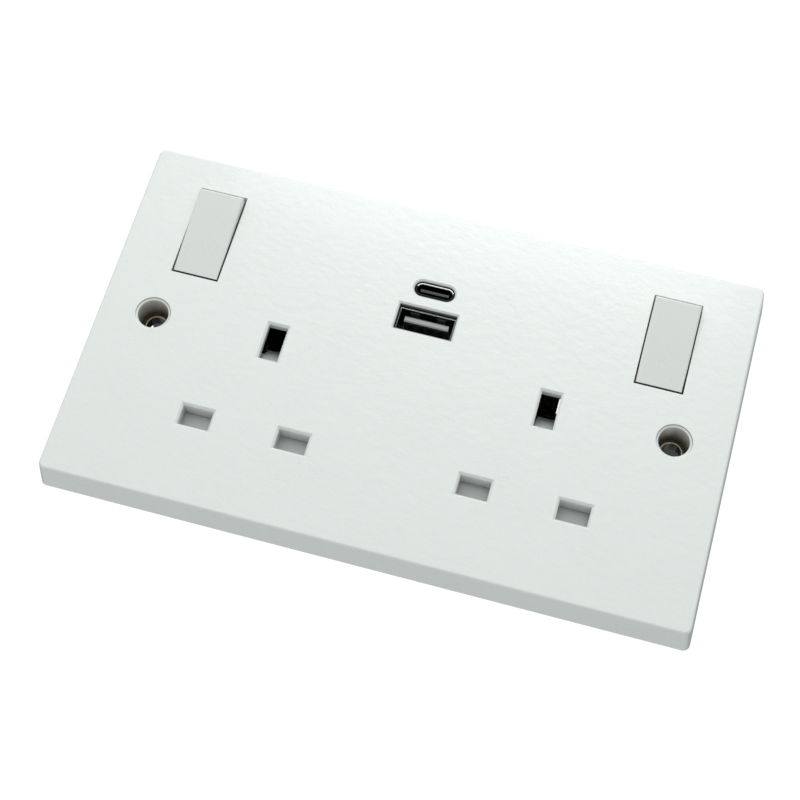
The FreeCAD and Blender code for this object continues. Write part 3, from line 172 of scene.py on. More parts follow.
class Bench:
    """Builds the node tree of a material or of the world."""

    MIX_FACTOR, MIX_LOW, MIX_HIGH, MIX_RESULT = 0, 6, 7, 2
    BEVEL_SAMPLES = 6

    def __init__(self, owner: bpy.types.ID) -> None:
        """Starts with an empty tree.

        Args:
            owner: the material or world that the tree belongs to.
        """
        owner.use_nodes = True
        self.owner = owner
        self.tree = owner.node_tree
        self.tree.nodes.clear()

    def node(
        self,
        kind: str,
        settings: dict[str, Any] | None = None,
        inputs: dict[Any, Any] | None = None,
    ) -> bpy.types.Node:
        """Adds a node of any kind.

        Args:
            kind: the node's type name.
            settings: its properties, set first.
            inputs: values or signals for its input sockets, by name or number.

        Returns:
            The new node.
        """
        node = self.tree.nodes.new(kind)
        for name, value in (settings or {}).items():
            setattr(node, name, value)
        for name, value in (inputs or {}).items():
            if isinstance(value, Signal):
                self.tree.links.new(value.socket, node.inputs[name])
            else:
                node.inputs[name].default_value = value
        return node

    def signal(
        self,
        kind: str,
        settings: dict[str, Any] | None = None,
        inputs: dict[Any, Any] | None = None,
        output: str | int = 0,
    ) -> Signal:
        """Adds a node and picks one of its outputs.

        Args:
            kind: the node's type name.
            settings: its properties.
            inputs: values or signals for its input sockets.
            output: name or number of the output socket.

        Returns:
            The output's signal.
        """
        return Signal(self, self.node(kind, settings, inputs).outputs[output])

    def place(self, scale: Triple = Lay.NONE.value) -> Signal:
        """The surface's own place in the part's frame.

        Args:
            scale: factors on X, Y and Z, which stretch a pattern along an axis.

        Returns:
            The scaled place.
        """
        where = self.signal("ShaderNodeTexCoord", output="Object")
        if scale == Lay.NONE.value:
            return where
        return self.signal("ShaderNodeMapping", None, {"Vector": where, "Scale": scale})

    def noise(self, size: float, detail: float, scale: Triple = Lay.NONE.value) -> Signal:
        """Cloudy values from 0 to 1.

        Args:
            size: the width of one cloud in metres.
            detail: how many finer layers it has.
            scale: factors on X, Y and Z.

        Returns:
            The noise value.
        """
        inputs = {"Vector": self.place(scale), "Scale": 1.0 / size, "Detail": detail}
        return self.signal("ShaderNodeTexNoise", None, inputs)

    def tint(self, mask: Signal, low: "Signal | Triple", high: "Signal | Triple") -> Signal:
        """Mixes two colours by a mask.

        Args:
            mask: 0 for the low colour, 1 for the high.
            low: a colour or a colour signal.
            high: a colour or a colour signal.

        Returns:
            The mixed colour.
        """
        wide = [value if isinstance(value, Signal) else (*value, 1.0) for value in (low, high)]
        inputs = {self.MIX_FACTOR: mask, self.MIX_LOW: wide[0], self.MIX_HIGH: wide[1]}
        return self.signal("ShaderNodeMix", {"data_type": "RGBA"}, inputs, self.MIX_RESULT)

    def relief(self, height: Signal, depth: float, edge: float = 0.0) -> Signal:
        """A bumped normal, over edges that catch the light as rounded ones do.

        Args:
            height: the relief's height.
            depth: metres for each unit of the height.
            edge: radius of the edges in metres, or 0 for sharp ones.

        Returns:
            The normal.
        """
        inputs: dict[Any, Any] = {"Height": height, "Distance": depth, "Strength": 1.0}
        if edge:
            settings = {"samples": self.BEVEL_SAMPLES}
            inputs["Normal"] = self.signal("ShaderNodeBevel", settings, {"Radius": edge})
        return self.signal("ShaderNodeBump", None, inputs)

    def finish(self, surface: dict[str, Any]) -> bpy.types.ID:
        """Closes a material with its surface shader.

        Args:
            surface: values or signals for the shader's sockets.

        Returns:
            The finished material.
        """
        shader = self.signal("ShaderNodeBsdfPrincipled", None, surface)
        self.node("ShaderNodeOutputMaterial", None, {"Surface": shader})
        return self.owner


def fixing_radius(x: Signal, z: Signal) -> Signal:
    """How far a place is from the axis of the nearer fixing hole.

    Args:
        x: the place's X.
        z: the place's Z.

    Returns:
        The distance in metres, sqrt((|x| - FIXING_X)^2 + z^2).
    """
    return ((abs(x) - FIXING_X) ** 2.0 + z**2.0) ** 0.5


@dataclass(frozen=True)
class Finish:
    """The look of one substance."""

    name: str

    def bench(self) -> Bench:
        """An empty bench for the finish's material."""
        return Bench(bpy.data.materials.new(self.name))

    def build(self) -> bpy.types.Material:
        """Makes the material, in each kind of finish by its own pattern.

        Returns:
            The material.
        """
        raise NotImplementedError(self.name)

    def paint_light(self, bench: Bench, colour: Signal) -> Signal:
        """Paints light and shade into the colour; a plain finish stays as it is.

        Args:
            bench: the material's bench.
            colour: the colour in full light.

        Returns:
            The colour to use.
        """
        return colour


@dataclass(frozen=True)
class Moulding(Finish):
    """Moulded plastic: a faint cloudiness, a fine skin texture and softly rounded edges.

    The peel is a coarser waviness of the skin, as a glossy press tool leaves it, in short waves
    that run across the piece.
    """

    colour: Triple
    shade: Triple
    roughness: float
    grain: float = 0.5 * MM
    depth: float = 0.012 * MM
    edge: float = 0.2 * MM
    coat: float = 0.0
    peel: float = 0.0
    cloud: float = 14.0 * MM
    wave: float = 1.7 * MM
    wave_stretch: Triple = (0.7, 1.0, 1.0)
    detail: float = 3.0
    grain_dulling: float = 0.16
    cloud_dulling: float = 0.06
    coat_roughness: float = 0.12
    refraction: float = 1.5

    def build(self) -> bpy.types.Material:
        """Makes the material: the clouds tint it, the grain gives the relief, both dull it.

        Returns:
            The material.
        """
        bench = self.bench()
        cloud = bench.noise(self.cloud, self.detail)
        grain = bench.noise(self.grain, self.detail)
        height = grain * self.depth
        if self.peel:
            height = height + bench.noise(self.wave, self.detail, self.wave_stretch) * self.peel
        dulling = (grain - 0.5) * self.grain_dulling + (cloud - 0.5) * self.cloud_dulling
        surface = {
            "Base Color": self.paint_light(bench, bench.tint(cloud, self.shade, self.colour)),
            "Roughness": self.roughness + dulling,
            "Normal": bench.relief(height, 1.0, self.edge),
            "IOR": self.refraction,
            "Coat Weight": self.coat,
            "Coat Roughness": self.coat_roughness,
        }
        return bench.finish(surface)


@dataclass(frozen=True)
class PlateMoulding(Moulding):
    """The plate's plastic, with painted shade in its openings and a painted warm grey shade down
    its fixing holes.

    Each depth is a span behind the plate's face over which a painted shade comes in.
    """

    field: Span = (66.0 * MM, 36.0 * MM)
    # painted shade inside the openings, coming in with depth behind the face
    painted_shade: Triple = (0.56, 0.57, 0.565)
    painted_shade_depth: Span = (0.4 * MM, 3.0 * MM)
    # painted black shade in the rocker wells and behind the USB chamfers
    black: Triple = (0.02, 0.02, 0.02)
    well_sides: Span = (-5.3 * MM, 5.9 * MM)
    well_ends: Span = (11.0 * MM, 34.2 * MM)
    well_depth: Span = (0.1 * MM, 0.4 * MM)
    usb_side: float = 7.3 * MM
    usb_ends: Span = (10.4 * MM, 25.0 * MM)
    usb_depth: Span = (0.28 * MM, 0.5 * MM)
    hole_reach: float = 4.6 * MM
    hole_start: Span = (0.35 * MM, 0.75 * MM)
    hole_depth: Span = (1.0 * MM, 7.0 * MM)
    # painted shade down the fixing holes, from light at the top to dark at the floor, warm as a
    # painted reflection of the brass
    hole_shade_top: Triple = (0.68, 0.675, 0.63)
    hole_shade_floor: Triple = (0.12, 0.09, 0.055)
    rim_radius: Span = (3.88 * MM, 4.38 * MM)
    rim_depth: Span = (0.03 * MM, 0.3 * MM)
    rim_fade: Span = (-3.0 * MM, 0.5 * MM)
    # painted grey shade on the upper rim of each fixing hole, where its chamfer faces down
    rim_shade: Triple = (0.24, 0.25, 0.24)

    def paint_light(self, bench: Bench, colour: Signal) -> Signal:
        """Mixes in the painted shade of the openings and the painted warm grey shade of the fixing
        holes.

        The rocker wells are painted black as shade but for their left and upper walls, the USB
        openings are painted black as shade behind their chamfers, and the upper rim of each fixing
        hole gets a painted grey shade.

        Args:
            bench: the material's bench.
            colour: the colour in full light.

        Returns:
            The colour with its painted shade.
        """
        x, y, z = bench.place().parts()
        depth = y - FACE_Y
        inside = abs(x).below(self.field[0]) * abs(z).below(self.field[1])
        # painted shade inside the openings
        dim = bench.tint(depth.ramp(self.painted_shade_depth) * inside, colour, self.painted_shade)
        ends = z.within(self.well_ends)
        # painted black shade in each rocker well, but for its left and upper walls
        for middle in (-ROCKER_X, ROCKER_X):
            well = (x - middle).within(self.well_sides) * ends
            dim = bench.tint(well * depth.ramp(self.well_depth), dim, self.black)
        # painted black shade behind the USB chamfers
        usb = abs(x).below(self.usb_side) * z.within(self.usb_ends)
        dim = bench.tint(usb * depth.ramp(self.usb_depth), dim, self.black)
        radius = fixing_radius(x, z)
        # painted grey shade on the upper rim of each fixing hole, stronger towards the top
        rim = radius.within(self.rim_radius) * depth.within(self.rim_depth)
        dim = bench.tint(rim * z.ramp(self.rim_fade), dim, self.rim_shade)
        # painted warm grey shade down each fixing hole's wall, darker with depth
        wall = bench.tint(depth.ramp(self.hole_depth), self.hole_shade_top, self.hole_shade_floor)
        hole = radius.below(self.hole_reach) * depth.ramp(self.hole_start)
        return bench.tint(hole, dim, wall)


@dataclass(frozen=True)
class RockerMoulding(Moulding):
    """The rockers' plastic, with painted shade on the sides and the ends that stand in the wells.
    """

    half: Span = (5.22 * MM, 10.55 * MM)
    sink: Span = (FACE_Y - 0.3 * MM, FACE_Y + 0.2 * MM)
    # painted black shade on the sides and ends
    painted_shade: Triple = (0.02, 0.02, 0.02)

    def paint_light(self, bench: Bench, colour: Signal) -> Signal:
        """Mixes in painted shade where the paddle's sides and ends go behind the plate's face.

        Args:
            bench: the material's bench.
            colour: the colour in full light.

        Returns:
            The colour with painted shade on its edges.
        """
        x, y, z = bench.place().parts()
        side = abs(abs(x) - ROCKER_X).above(self.half[0])
        end = abs(z - ROCKER_MIDDLE_Z).above(self.half[1])
        edge = (side + end).ramp((0.0, 1.0))
        # painted black shade where the paddle's edges sink behind the face
        return bench.tint(edge * y.ramp(self.sink), colour, self.painted_shade)


@dataclass(frozen=True)
class ShutterMoulding(Moulding):
    """The shutters' plastic, with painted shade on the ramp that stands deep in the earth aperture.
    """

    ramp_foot: float = -14.0 * MM
    # painted shade on the ramp deep in the earth aperture
    painted_shade: Triple = (0.50, 0.52, 0.51)

    def paint_light(self, bench: Bench, colour: Signal) -> Signal:
        """Mixes in painted shade above the foot of the ramp.

        Args:
            bench: the material's bench.
            colour: the colour in full light.

        Returns:
            The colour with painted shade on its ramp.
        """
        _, _, z = bench.place().parts()
        # painted shade above the ramp's foot
        return bench.tint(z.above(self.ramp_foot), colour, self.painted_shade)


@dataclass(frozen=True)
class TongueMoulding(Moulding):
    """The wide tongue's plastic: pale in front and above, with painted shade on its underside."""

    underside: float = 14.43 * MM
    # painted shade on the underside
    painted_shade: Triple = (0.055, 0.056, 0.056)

    def paint_light(self, bench: Bench, colour: Signal) -> Signal:
        """Mixes in painted shade on the tongue's underside.

        Args:
            bench: the material's bench.
            colour: the colour in full light.

        Returns:
            The colour with painted shade on its underside.
        """
        _, _, z = bench.place().parts()
        # painted shade below the underside's height
        return bench.tint(z.below(self.underside), colour, self.painted_shade)


@dataclass(frozen=True)
class Metal(Finish):
    """Rolled, drawn or plated metal with fine marks along its lay and a little tarnish."""

    colour: Triple
    tarnish: Triple
    roughness: float
    lay: Lay = Lay.NONE
    thread_pitch: float = 0.0
    edge: float = 0.08 * MM
    metallic: float = 1.0
    streak: float = 0.12 * MM
    streak_detail: float = 2.0
    streak_height: float = 0.04
    streak_dulling: float = 0.22
    patch: float = 3.5 * MM
    patch_detail: float = 4.0
    patch_dulling: float = 0.1
    mark_depth: float = 0.02 * MM
    thread_depth: float = 0.18 * MM
    wave_radians: float = 20.0

    def build(self) -> bpy.types.Material:
        """Makes the material: streaks stretched along the lay, and rings where it is threaded.

        At scale 1 a wave texture runs through 20 radians in a metre, so a thread of pitch p
        takes the scale 2 pi / (20 p).

        Returns:
            The material.
        """
        bench = self.bench()
        streak = bench.noise(self.streak, self.streak_detail, self.lay.value)
        patch = bench.noise(self.patch, self.patch_detail)
        height = streak * self.streak_height
        if self.thread_pitch:
            scale = 1.0 / (self.thread_pitch * self.wave_radians / math.tau)
            settings = {"wave_type": "BANDS", "bands_direction": "Y", "wave_profile": "TRI"}
            inputs = {"Vector": bench.place(), "Scale": scale}
            height = height + bench.signal("ShaderNodeTexWave", settings, inputs, "Fac")
        depth = self.thread_depth if self.thread_pitch else self.mark_depth
        dulling = (streak - 0.5) * self.streak_dulling + (patch - 0.5) * self.patch_dulling
        surface = {
            "Base Color": self.paint_light(bench, bench.tint(patch, self.tarnish, self.colour)),
            "Metallic": self.metallic,
            "Roughness": self.roughness + dulling,
            "Normal": bench.relief(height, depth, self.edge),
        }
        return bench.finish(surface)


@dataclass(frozen=True)
class BushMetal(Metal):
    """Brass of the fixing holes' bushes: a bright lip in front, painted black shade down the bore.
    """

    bore: float = 2.42 * MM
    lip: float = -2.72 * MM
    # painted black shade down the bore
    bore_shade: Triple = (0.012, 0.010, 0.008)

    def paint_light(self, bench: Bench, colour: Signal) -> Signal:
        """Mixes in painted black shade on the bore's wall behind the lip.

        Args:
            bench: the material's bench.
            colour: the bright brass.

        Returns:
            The colour with its bore painted black as shade.
        """
        x, y, z = bench.place().parts()
        bore = fixing_radius(x, z).below(self.bore) * y.above(self.lip)
        # painted black shade on the bore's wall behind the lip
        return bench.tint(bore, colour, self.bore_shade)


@dataclass(frozen=True)
class ShellMetal(Metal):
    """Steel of a USB shell: painted dim as shade inside, with a painted highlight on the upper rim
    at its mouth.
    """

    mouth: float = 0.0
    rim_foot: float = 0.0
    # colour of the painted highlight on the upper rim
    rim: Triple = (0.95, 0.95, 0.95)

    def paint_light(self, bench: Bench, colour: Signal) -> Signal:
        """Mixes in the painted highlight on the rim, above its foot on the front edge.

        Args:
            bench: the material's bench.
            colour: the steel, painted dim as shade.

        Returns:
            The colour with its painted highlight on the rim.
        """
        _, y, z = bench.place().parts()
        # painted highlight on the upper front edge
        return bench.tint(y.below(self.mouth) * z.above(self.rim_foot), colour, self.rim)


@dataclass(frozen=True)
class Laminate(Finish):
    """A green circuit board with tinned tracks under its mask."""

    mask: Triple = (0.018, 0.115, 0.045)
    track: Triple = (0.045, 0.21, 0.085)
    track_scale: float = 170.0
    track_gap: float = 0.05
    track_length: float = 0.9
    track_height: float = 0.34
    track_depth: float = 0.03 * MM
    cloud: float = 6.0 * MM
    cloud_detail: float = 2.0
    cloud_dulling: float = 0.12
    roughness: float = 0.3
    coat: float = 0.3

    def build(self) -> bpy.types.Material:
        """Makes the material: a brick pattern read across X and Z gives the tracks.

        Returns:
            The material.
        """
        bench = self.bench()
        turn = {"Vector": bench.place(), "Rotation": (math.pi / 2, 0.0, 0.0)}
        pattern = {
            "Vector": bench.signal("ShaderNodeMapping", None, turn),
            "Scale": self.track_scale,
            "Mortar Size": self.track_gap,
            "Brick Width": self.track_length,
            "Row Height": self.track_height,
        }
        lines = bench.signal("ShaderNodeTexBrick", None, pattern, "Fac")
        cloud = bench.noise(self.cloud, self.cloud_detail)
        surface = {
            "Base Color": bench.tint(lines, self.mask, self.track),
            "Roughness": self.roughness + cloud * self.cloud_dulling,
            "Normal": bench.relief(lines, self.track_depth),
            "Coat Weight": self.coat,
        }
        return bench.finish(surface)


@dataclass(frozen=True)
class Wound(Finish):
    """A winding under turns of yellow tape, whose edges step round the coil."""

    colour: Triple = (0.62, 0.40, 0.05)
    seam: Triple = (0.42, 0.25, 0.03)
    band_scale: float = 160.0
    band_waver: float = 0.4
    band_dulling: float = 0.1
    band_depth: float = 0.06 * MM
    roughness: float = 0.32

    def build(self) -> bpy.types.Material:
        """Makes the material: bands along Z are the tape's overlaps.

        Returns:
            The material.
        """
        bench = self.bench()
        settings = {"wave_type": "BANDS", "bands_direction": "Z", "wave_profile": "SAW"}
        inputs = {
            "Vector": bench.place(),
            "Scale": self.band_scale,
            "Distortion": self.band_waver,
        }
        band = bench.signal("ShaderNodeTexWave", settings, inputs, "Fac")
        surface = {
            "Base Color": bench.tint(band, self.seam, self.colour),
            "Roughness": self.roughness + band * self.band_dulling,
            "Normal": bench.relief(band, self.band_depth),
        }
        return bench.finish(surface)


@dataclass(frozen=True)
class Sintered(Finish):
    """Dark ferrite or a filled resin: fine-grained and dull, with worn lighter patches."""

    colour: Triple
    worn: Triple
    roughness: float = 0.55
    speckle: float = 0.25 * MM
    speckle_detail: float = 4.0
    speckle_dulling: float = 0.2
    speckle_depth: float = 0.03 * MM
    patch: float = 4.0 * MM
    patch_detail: float = 3.0
    edge: float = 0.15 * MM

    def build(self) -> bpy.types.Material:
        """Makes the material from a speckle and a patch noise.

        Returns:
            The material.
        """
        bench = self.bench()
        speckle = bench.noise(self.speckle, self.speckle_detail)
        patch = bench.noise(self.patch, self.patch_detail)
        surface = {
            "Base Color": bench.tint(patch * speckle, self.colour, self.worn),
            "Roughness": self.roughness + (speckle - 0.5) * self.speckle_dulling,
            "Normal": bench.relief(speckle, self.speckle_depth, self.edge),
        }
        return bench.finish(surface)


PLATE = PlateMoulding(
    "plate_moulding",
    colour=(0.825, 0.855, 0.835),
    shade=(0.80, 0.83, 0.81),
    roughness=0.30,
    grain=0.45 * MM,
    depth=0.010 * MM,
    edge=0.25 * MM,
    coat=0.35,
    peel=0.07 * MM,
)
ROCKER = RockerMoulding(
    "rocker_moulding",
    colour=(0.74, 0.775, 0.75),
    shade=(0.72, 0.755, 0.73),
    roughness=0.30,
    grain=0.6 * MM,
    depth=0.008 * MM,
    edge=0.18 * MM,
    coat=0.15,
)
SHUTTER = ShutterMoulding("shutter_moulding", (0.90, 0.91, 0.90), (0.87, 0.88, 0.87), 0.5)
BASE = Moulding(
    "base_moulding",
    colour=(0.040, 0.041, 0.044),
    shade=(0.028, 0.029, 0.031),
    roughness=0.42,
    grain=0.8 * MM,
    depth=0.02 * MM,
    edge=0.25 * MM,
)
COVER = Moulding(
    "cover_moulding",
    colour=(0.050, 0.051, 0.055),
    shade=(0.036, 0.037, 0.040),
    roughness=0.36,
    grain=0.8 * MM,
    depth=0.02 * MM,
    edge=0.25 * MM,
)
NYLON = Moulding("plunger_nylon", (0.66, 0.62, 0.52), (0.60, 0.56, 0.46), 0.4, 0.4 * MM)
TONGUE = TongueMoulding("pale_tongue", (0.56, 0.58, 0.57), (0.48, 0.50, 0.49), 0.45, 0.3 * MM)
DARK_TONGUE = Moulding(
    "dark_tongue", (0.015, 0.015, 0.017), (0.009, 0.009, 0.010), 0.4, 0.3 * MM
)
CHIP = Moulding("chip_resin", (0.020, 0.020, 0.022), (0.012, 0.012, 0.013), 0.5, 0.2 * MM)
CERAMIC = Moulding("passive_ceramic", (0.30, 0.20, 0.12), (0.24, 0.15, 0.09), 0.4, 0.2 * MM)
FLOOR = Moulding(
    "pale_floor",
    colour=(0.84, 0.84, 0.84),
    shade=(0.82, 0.82, 0.82),
    roughness=0.7,
    grain=4.0 * MM,
    depth=0.02 * MM,
    edge=0.0,
)
BRASS = Metal("stamped_brass", (0.66, 0.49, 0.22), (0.50, 0.35, 0.14), 0.28, Lay.ALONG_X)
EYELET = BushMetal(
    "rolled_brass", (0.98, 0.90, 0.70), (0.88, 0.76, 0.50), 0.26, Lay.ALONG_Y, metallic=0.35
)
BLOCK = Metal("sawn_brass", (0.78, 0.58, 0.25), (0.60, 0.42, 0.16), 0.32, Lay.ALONG_Z)
COPPER = Metal("spring_copper", (0.80, 0.42, 0.25), (0.62, 0.29, 0.16), 0.28, Lay.ALONG_Z)
# The gold is painted dark as shade; gold flash is far brighter under any lamp.
GOLD = Metal("gold_flash", (0.20, 0.16, 0.09), (0.13, 0.10, 0.05), 0.3, Lay.ALONG_Y)
LEAF = Metal("leaf_steel", (0.30, 0.31, 0.32), (0.20, 0.21, 0.22), 0.3, Lay.ALONG_X)
STEEL = Metal("spring_steel", (0.60, 0.61, 0.62), (0.42, 0.42, 0.43), 0.25)
# The shells' steel is painted dim as shade, darkest in the narrow shell, and each rim colour is a
# painted highlight.
SHELL = ShellMetal(
    "shell_steel",
    colour=(0.11, 0.113, 0.117),
    tarnish=(0.07, 0.073, 0.077),
    roughness=0.24,
    lay=Lay.ALONG_X,
    mouth=-7.95 * MM,
    rim_foot=16.7 * MM,
)
DARK_SHELL = ShellMetal(
    "dark_shell_steel",
    colour=(0.020, 0.020, 0.021),
    tarnish=(0.012, 0.012, 0.013),
    roughness=0.24,
    lay=Lay.ALONG_X,
    mouth=-8.75 * MM,
    rim_foot=22.9 * MM,
    rim=(0.38, 0.38, 0.38),
)
PLATED = Metal(
    "plated_steel", (0.70, 0.70, 0.66), (0.50, 0.50, 0.44), 0.3, thread_pitch=0.6 * MM
)
SOLDER = Metal("solder", (0.72, 0.72, 0.73), (0.60, 0.60, 0.61), 0.22)
FERRITE = Sintered("ferrite", (0.016, 0.016, 0.018), (0.07, 0.07, 0.072))
CAN = Sintered("can_sleeve", (0.010, 0.013, 0.028), (0.03, 0.04, 0.07), 0.32)
BOARD = Laminate("board_laminate")
WINDING = Wound("winding_tape")


class Kit:
    """Shared making: keeps one material per finish, and puts meshes and finishes on the frame."""

    def __init__(self) -> None:
        """Starts with no materials made."""
        self.materials: dict[str, bpy.types.Material] = {}
        self.count = 0

    def material(self, finish: Finish) -> bpy.types.Material:
        """The material of a finish, made at its first use."""
        if finish.name not in self.materials:
            self.materials[finish.name] = finish.build()
        return self.materials[finish.name]

    def dress(self, finish: Finish, *nodes: str) -> None:
        """Gives CAD nodes a finish.

        Args:
            finish: the finish to use.
            nodes: names of the CAD nodes.
        """
        for name in nodes:
            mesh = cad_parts[name].data
            mesh.materials.clear()
            mesh.materials.append(self.material(finish))
            LOG.info("dressed %s in %s", name, finish.name)

    def piece(
        self,
        name: str,
        grid: np.ndarray,
        finish: Finish,
        body: str,
        slot: str,
        smooth: bool = True,
    ) -> bpy.types.Object:
        """Makes one closed piece from stacked rings of points.

        Point (i, j) of the grid joins (i, j + 1) round the ring and (i + 1, j) along the piece, and
        the first and last rings are closed by a face each. A grid with four axes holds several
        such stacks.

        Args:
            name: the piece's name.
            grid: points as rings by points by 3, or stacks by rings by points by 3.
            finish: the piece's finish.
            body: the body it rides on.
            slot: not used.
            smooth: whether its faces shade smoothly.

        Returns:
            The new object.
        """
        stacks = grid[None] if grid.ndim == 3 else grid
        copies, rings, around, _ = stacks.shape
        index = np.arange(copies * rings * around).reshape(copies, rings, around)
        here, there = index[:, :-1], index[:, 1:]
        sides = [here, np.roll(here, -1, axis=2), np.roll(there, -1, axis=2), there]
        quads = np.stack(sides, axis=-1).reshape(-1, 4)
        ends = [(stack[0][::-1], stack[-1]) for stack in index]
        caps = [ring.tolist() for pair in ends for ring in pair]
        mesh = bpy.data.meshes.new(name)
        mesh.from_pydata(stacks.reshape(-1, 3).tolist(), [], quads.tolist() + caps)
        mesh.validate()
        mesh.polygons.foreach_set("use_smooth", np.full(len(mesh.polygons), smooth))
        mesh.materials.append(self.material(finish))
        piece = bpy.data.objects.new(name, mesh)
        bpy.context.scene.collection.objects.link(piece)
        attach(piece, body)
        self.count += 1
        LOG.info("made %s: %d faces on %s", name, len(mesh.polygons), body)
        return piece


PILLOW_LIP = 0.45
PILLOW_LIP_STEPS = 4
PILLOW_POINTS = 24


def pillow(centre: np.ndarray, size: Triple, round_share: float) -> np.ndarray:
    """A block with rounded corners and edges, as rings along Y.

    Its outline is the superellipse |x|^n + |z|^n = 1 with n = 2 / round_share, drawn in towards
    both ends by a quarter circle whose radius is a share of half the block's smallest size.

    Args:
        centre: the block's centre.
        size: its full sizes along X, Y and Z.
        round_share: 1 for a round outline, near 0 for square corners.

    Returns:
        The grid of points.
    """
    half = np.array(size) / 2
    lip = min(half) * PILLOW_LIP
    turn = np.linspace(0, math.pi / 2, PILLOW_LIP_STEPS)
    back = turn[::-1]
    inset = np.concatenate([lip * (1 - np.sin(turn)), lip * (1 - np.sin(back))])
    front_depth = -half[1] + lip * (1 - np.cos(turn))
    back_depth = half[1] - lip * (1 - np.cos(back))
    depth = np.concatenate([front_depth, back_depth])
    angle = np.linspace(0, math.tau, PILLOW_POINTS, endpoint=False)
    wide = np.sign(np.cos(angle)) * np.abs(np.cos(angle)) ** round_share
    tall = np.sign(np.sin(angle)) * np.abs(np.sin(angle)) ** round_share
    x = (half[0] - inset)[:, None] * wide[None]
    z = (half[2] - inset)[:, None] * tall[None]
    y = np.broadcast_to(depth[:, None], x.shape)
    return np.stack([x, y, z], axis=-1) + centre


COIL_STEPS = 20
COIL_POINTS = 8
COIL_FLAT_TURNS = 0.45


def helix_wire(
    start: np.ndarray, axis: np.ndarray, length: float, radius: float, wire: float, turns: float
) -> np.ndarray:
    """A compression spring of round wire with closed ends, as rings along the wire.

    The wire's middle line is start + axis * rise(t) + radius * (cos, sin)(2 pi turns t). The rise
    is flat for nearly half a turn at each end, so that the end coils lie square. Each ring is a
    circle in the plane of the outward and the axial direction.

    Args:
        start: the centre of the spring's first end.
        axis: unit vector towards its other end.
        length: the free height between its ends.
        radius: radius of the wire's middle line.
        wire: radius of the wire.
        turns: number of turns.

    Returns:
        The grid of points.
    """
    across = np.cross(axis, [1.0, 0.0, 0.0])
    across /= np.linalg.norm(across)
    other = np.cross(axis, across)
    share = np.linspace(0, 1, int(turns * COIL_STEPS) + 1)
    flat = COIL_FLAT_TURNS / turns
    rise = np.clip((share - flat) / (1 - 2 * flat), 0, 1) * (length - 2 * wire) + wire
    angle = share * turns * math.tau
    out = np.cos(angle)[:, None] * across + np.sin(angle)[:, None] * other
    line = start + rise[:, None] * axis + radius * out
    ring = np.linspace(0, math.tau, COIL_POINTS, endpoint=False)
    outward = np.cos(ring)[None, :, None] * out[:, None]
    return line[:, None] + wire * (outward + np.sin(ring)[None, :, None] * axis)


@dataclass
class Front:
    """The faceplate with its eyelets."""

    def build(self, kit: Kit) -> None:
        """Dresses the plate and the eyelets.

        Args:
            kit: the shared making.
        """
        kit.dress(PLATE, "faceplate")
        kit.dress(EYELET, *(f"eyelet_{side.value}" for side in Side))


@dataclass
class Switch:
    """One rocker switch: rocker, sprung plunger and see-saw contact."""

    side: Side
    spring_turns: float = 5.0
    spring_wire: float = 0.15 * MM
    rocker_tilt: float = 7.2

    def build(self, kit: Kit) -> None:
        """Dresses the switch's nodes and makes its round-wire spring.

        Args:
            kit: the shared making.
        """
        name = self.side.value
        kit.dress(ROCKER, f"rocker_{name}")
        kit.dress(NYLON, f"plunger_{name}")
        kit.dress(COPPER, f"switch_contact_{name}")
        self.make_spring(kit)

    def make_spring(self, kit: Kit) -> None:
        """Puts a round-wire spring in the rocker's nose, in place of the plain coil.

        The plain coil's own points give the spring's ends and its outer radius.

        Args:
            kit: the shared making.
        """
        name = self.side.value
        node = f"plunger_spring_{name}"
        kit.dress(STEEL, node)
        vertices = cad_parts[node].data.vertices
        points = np.empty(len(vertices) * 3)
        vertices.foreach_get("co", points)
        points = points.reshape(-1, 3)
        tilt = math.radians(self.rocker_tilt)
        axis = np.array([0.0, math.cos(tilt), math.sin(tilt)])
        middle = (points.min(0) + points.max(0)) / 2
        along = (points - middle) @ axis
        outward = points - middle - along[:, None] * axis
        radius = np.linalg.norm(outward, axis=1).max() - self.spring_wire
        start = middle + axis * along.min()
        length = along.max() - along.min()
        grid = helix_wire(start, axis, length, radius, self.spring_wire, self.spring_turns)
        spring = kit.piece(f"nose_spring_{name}", grid, STEEL, f"rocker_{name}", "spring_steel")
        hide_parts(node)
        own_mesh(spring)


@dataclass
class Shutter:
    """The shutter behind one outlet's apertures, with its spring."""

    side: Side
    spring_turns: float = 7.0
    spring_wire: float = 0.2 * MM
    travel: float = 5.6 * MM

    def build(self, kit: Kit) -> None:
        """Dresses the shutter and makes its round-wire spring.

        Args:
            kit: the shared making.
        """
        name = self.side.value
        kit.dress(SHUTTER, f"shutter_{name}")
        node = f"shutter_spring_{name}"
        kit.dress(STEEL, node)
        low, high = (np.array(corner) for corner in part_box(node))
        centre = (low + high) / 2
        start = np.array([centre[0], centre[1], low[2]])
        radius = (high[1] - low[1]) / 2 - self.spring_wire
        length = high[2] - low[2]
        axis = np.array([0.0, 0.0, 1.0])
        grid = helix_wire(start, axis, length, radius, self.spring_wire, self.spring_turns)
        spring = kit.piece(f"return_spring_{name}", grid, STEEL, "housing", "spring_steel")
        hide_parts(node)
        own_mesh(spring)


@dataclass
class Wiring:
    """Bars, contacts, terminals and their screws."""

    def build(self, kit: Kit) -> None:
        """Dresses the metal strips and terminals.

        Args:
            kit: the shared making.
        """
        kit.dress(BRASS, "live_bar", "neutral_bar", "earth_bar")
        kit.dress(BRASS, *(f"live_contact_{side.value}" for side in Side))
        ends = ("live", "neutral", "earth_left", "earth_right")
        kit.dress(BLOCK, *(f"terminal_{end}" for end in ends))
        kit.dress(PLATED, *(f"terminal_screw_{end}" for end in ends))


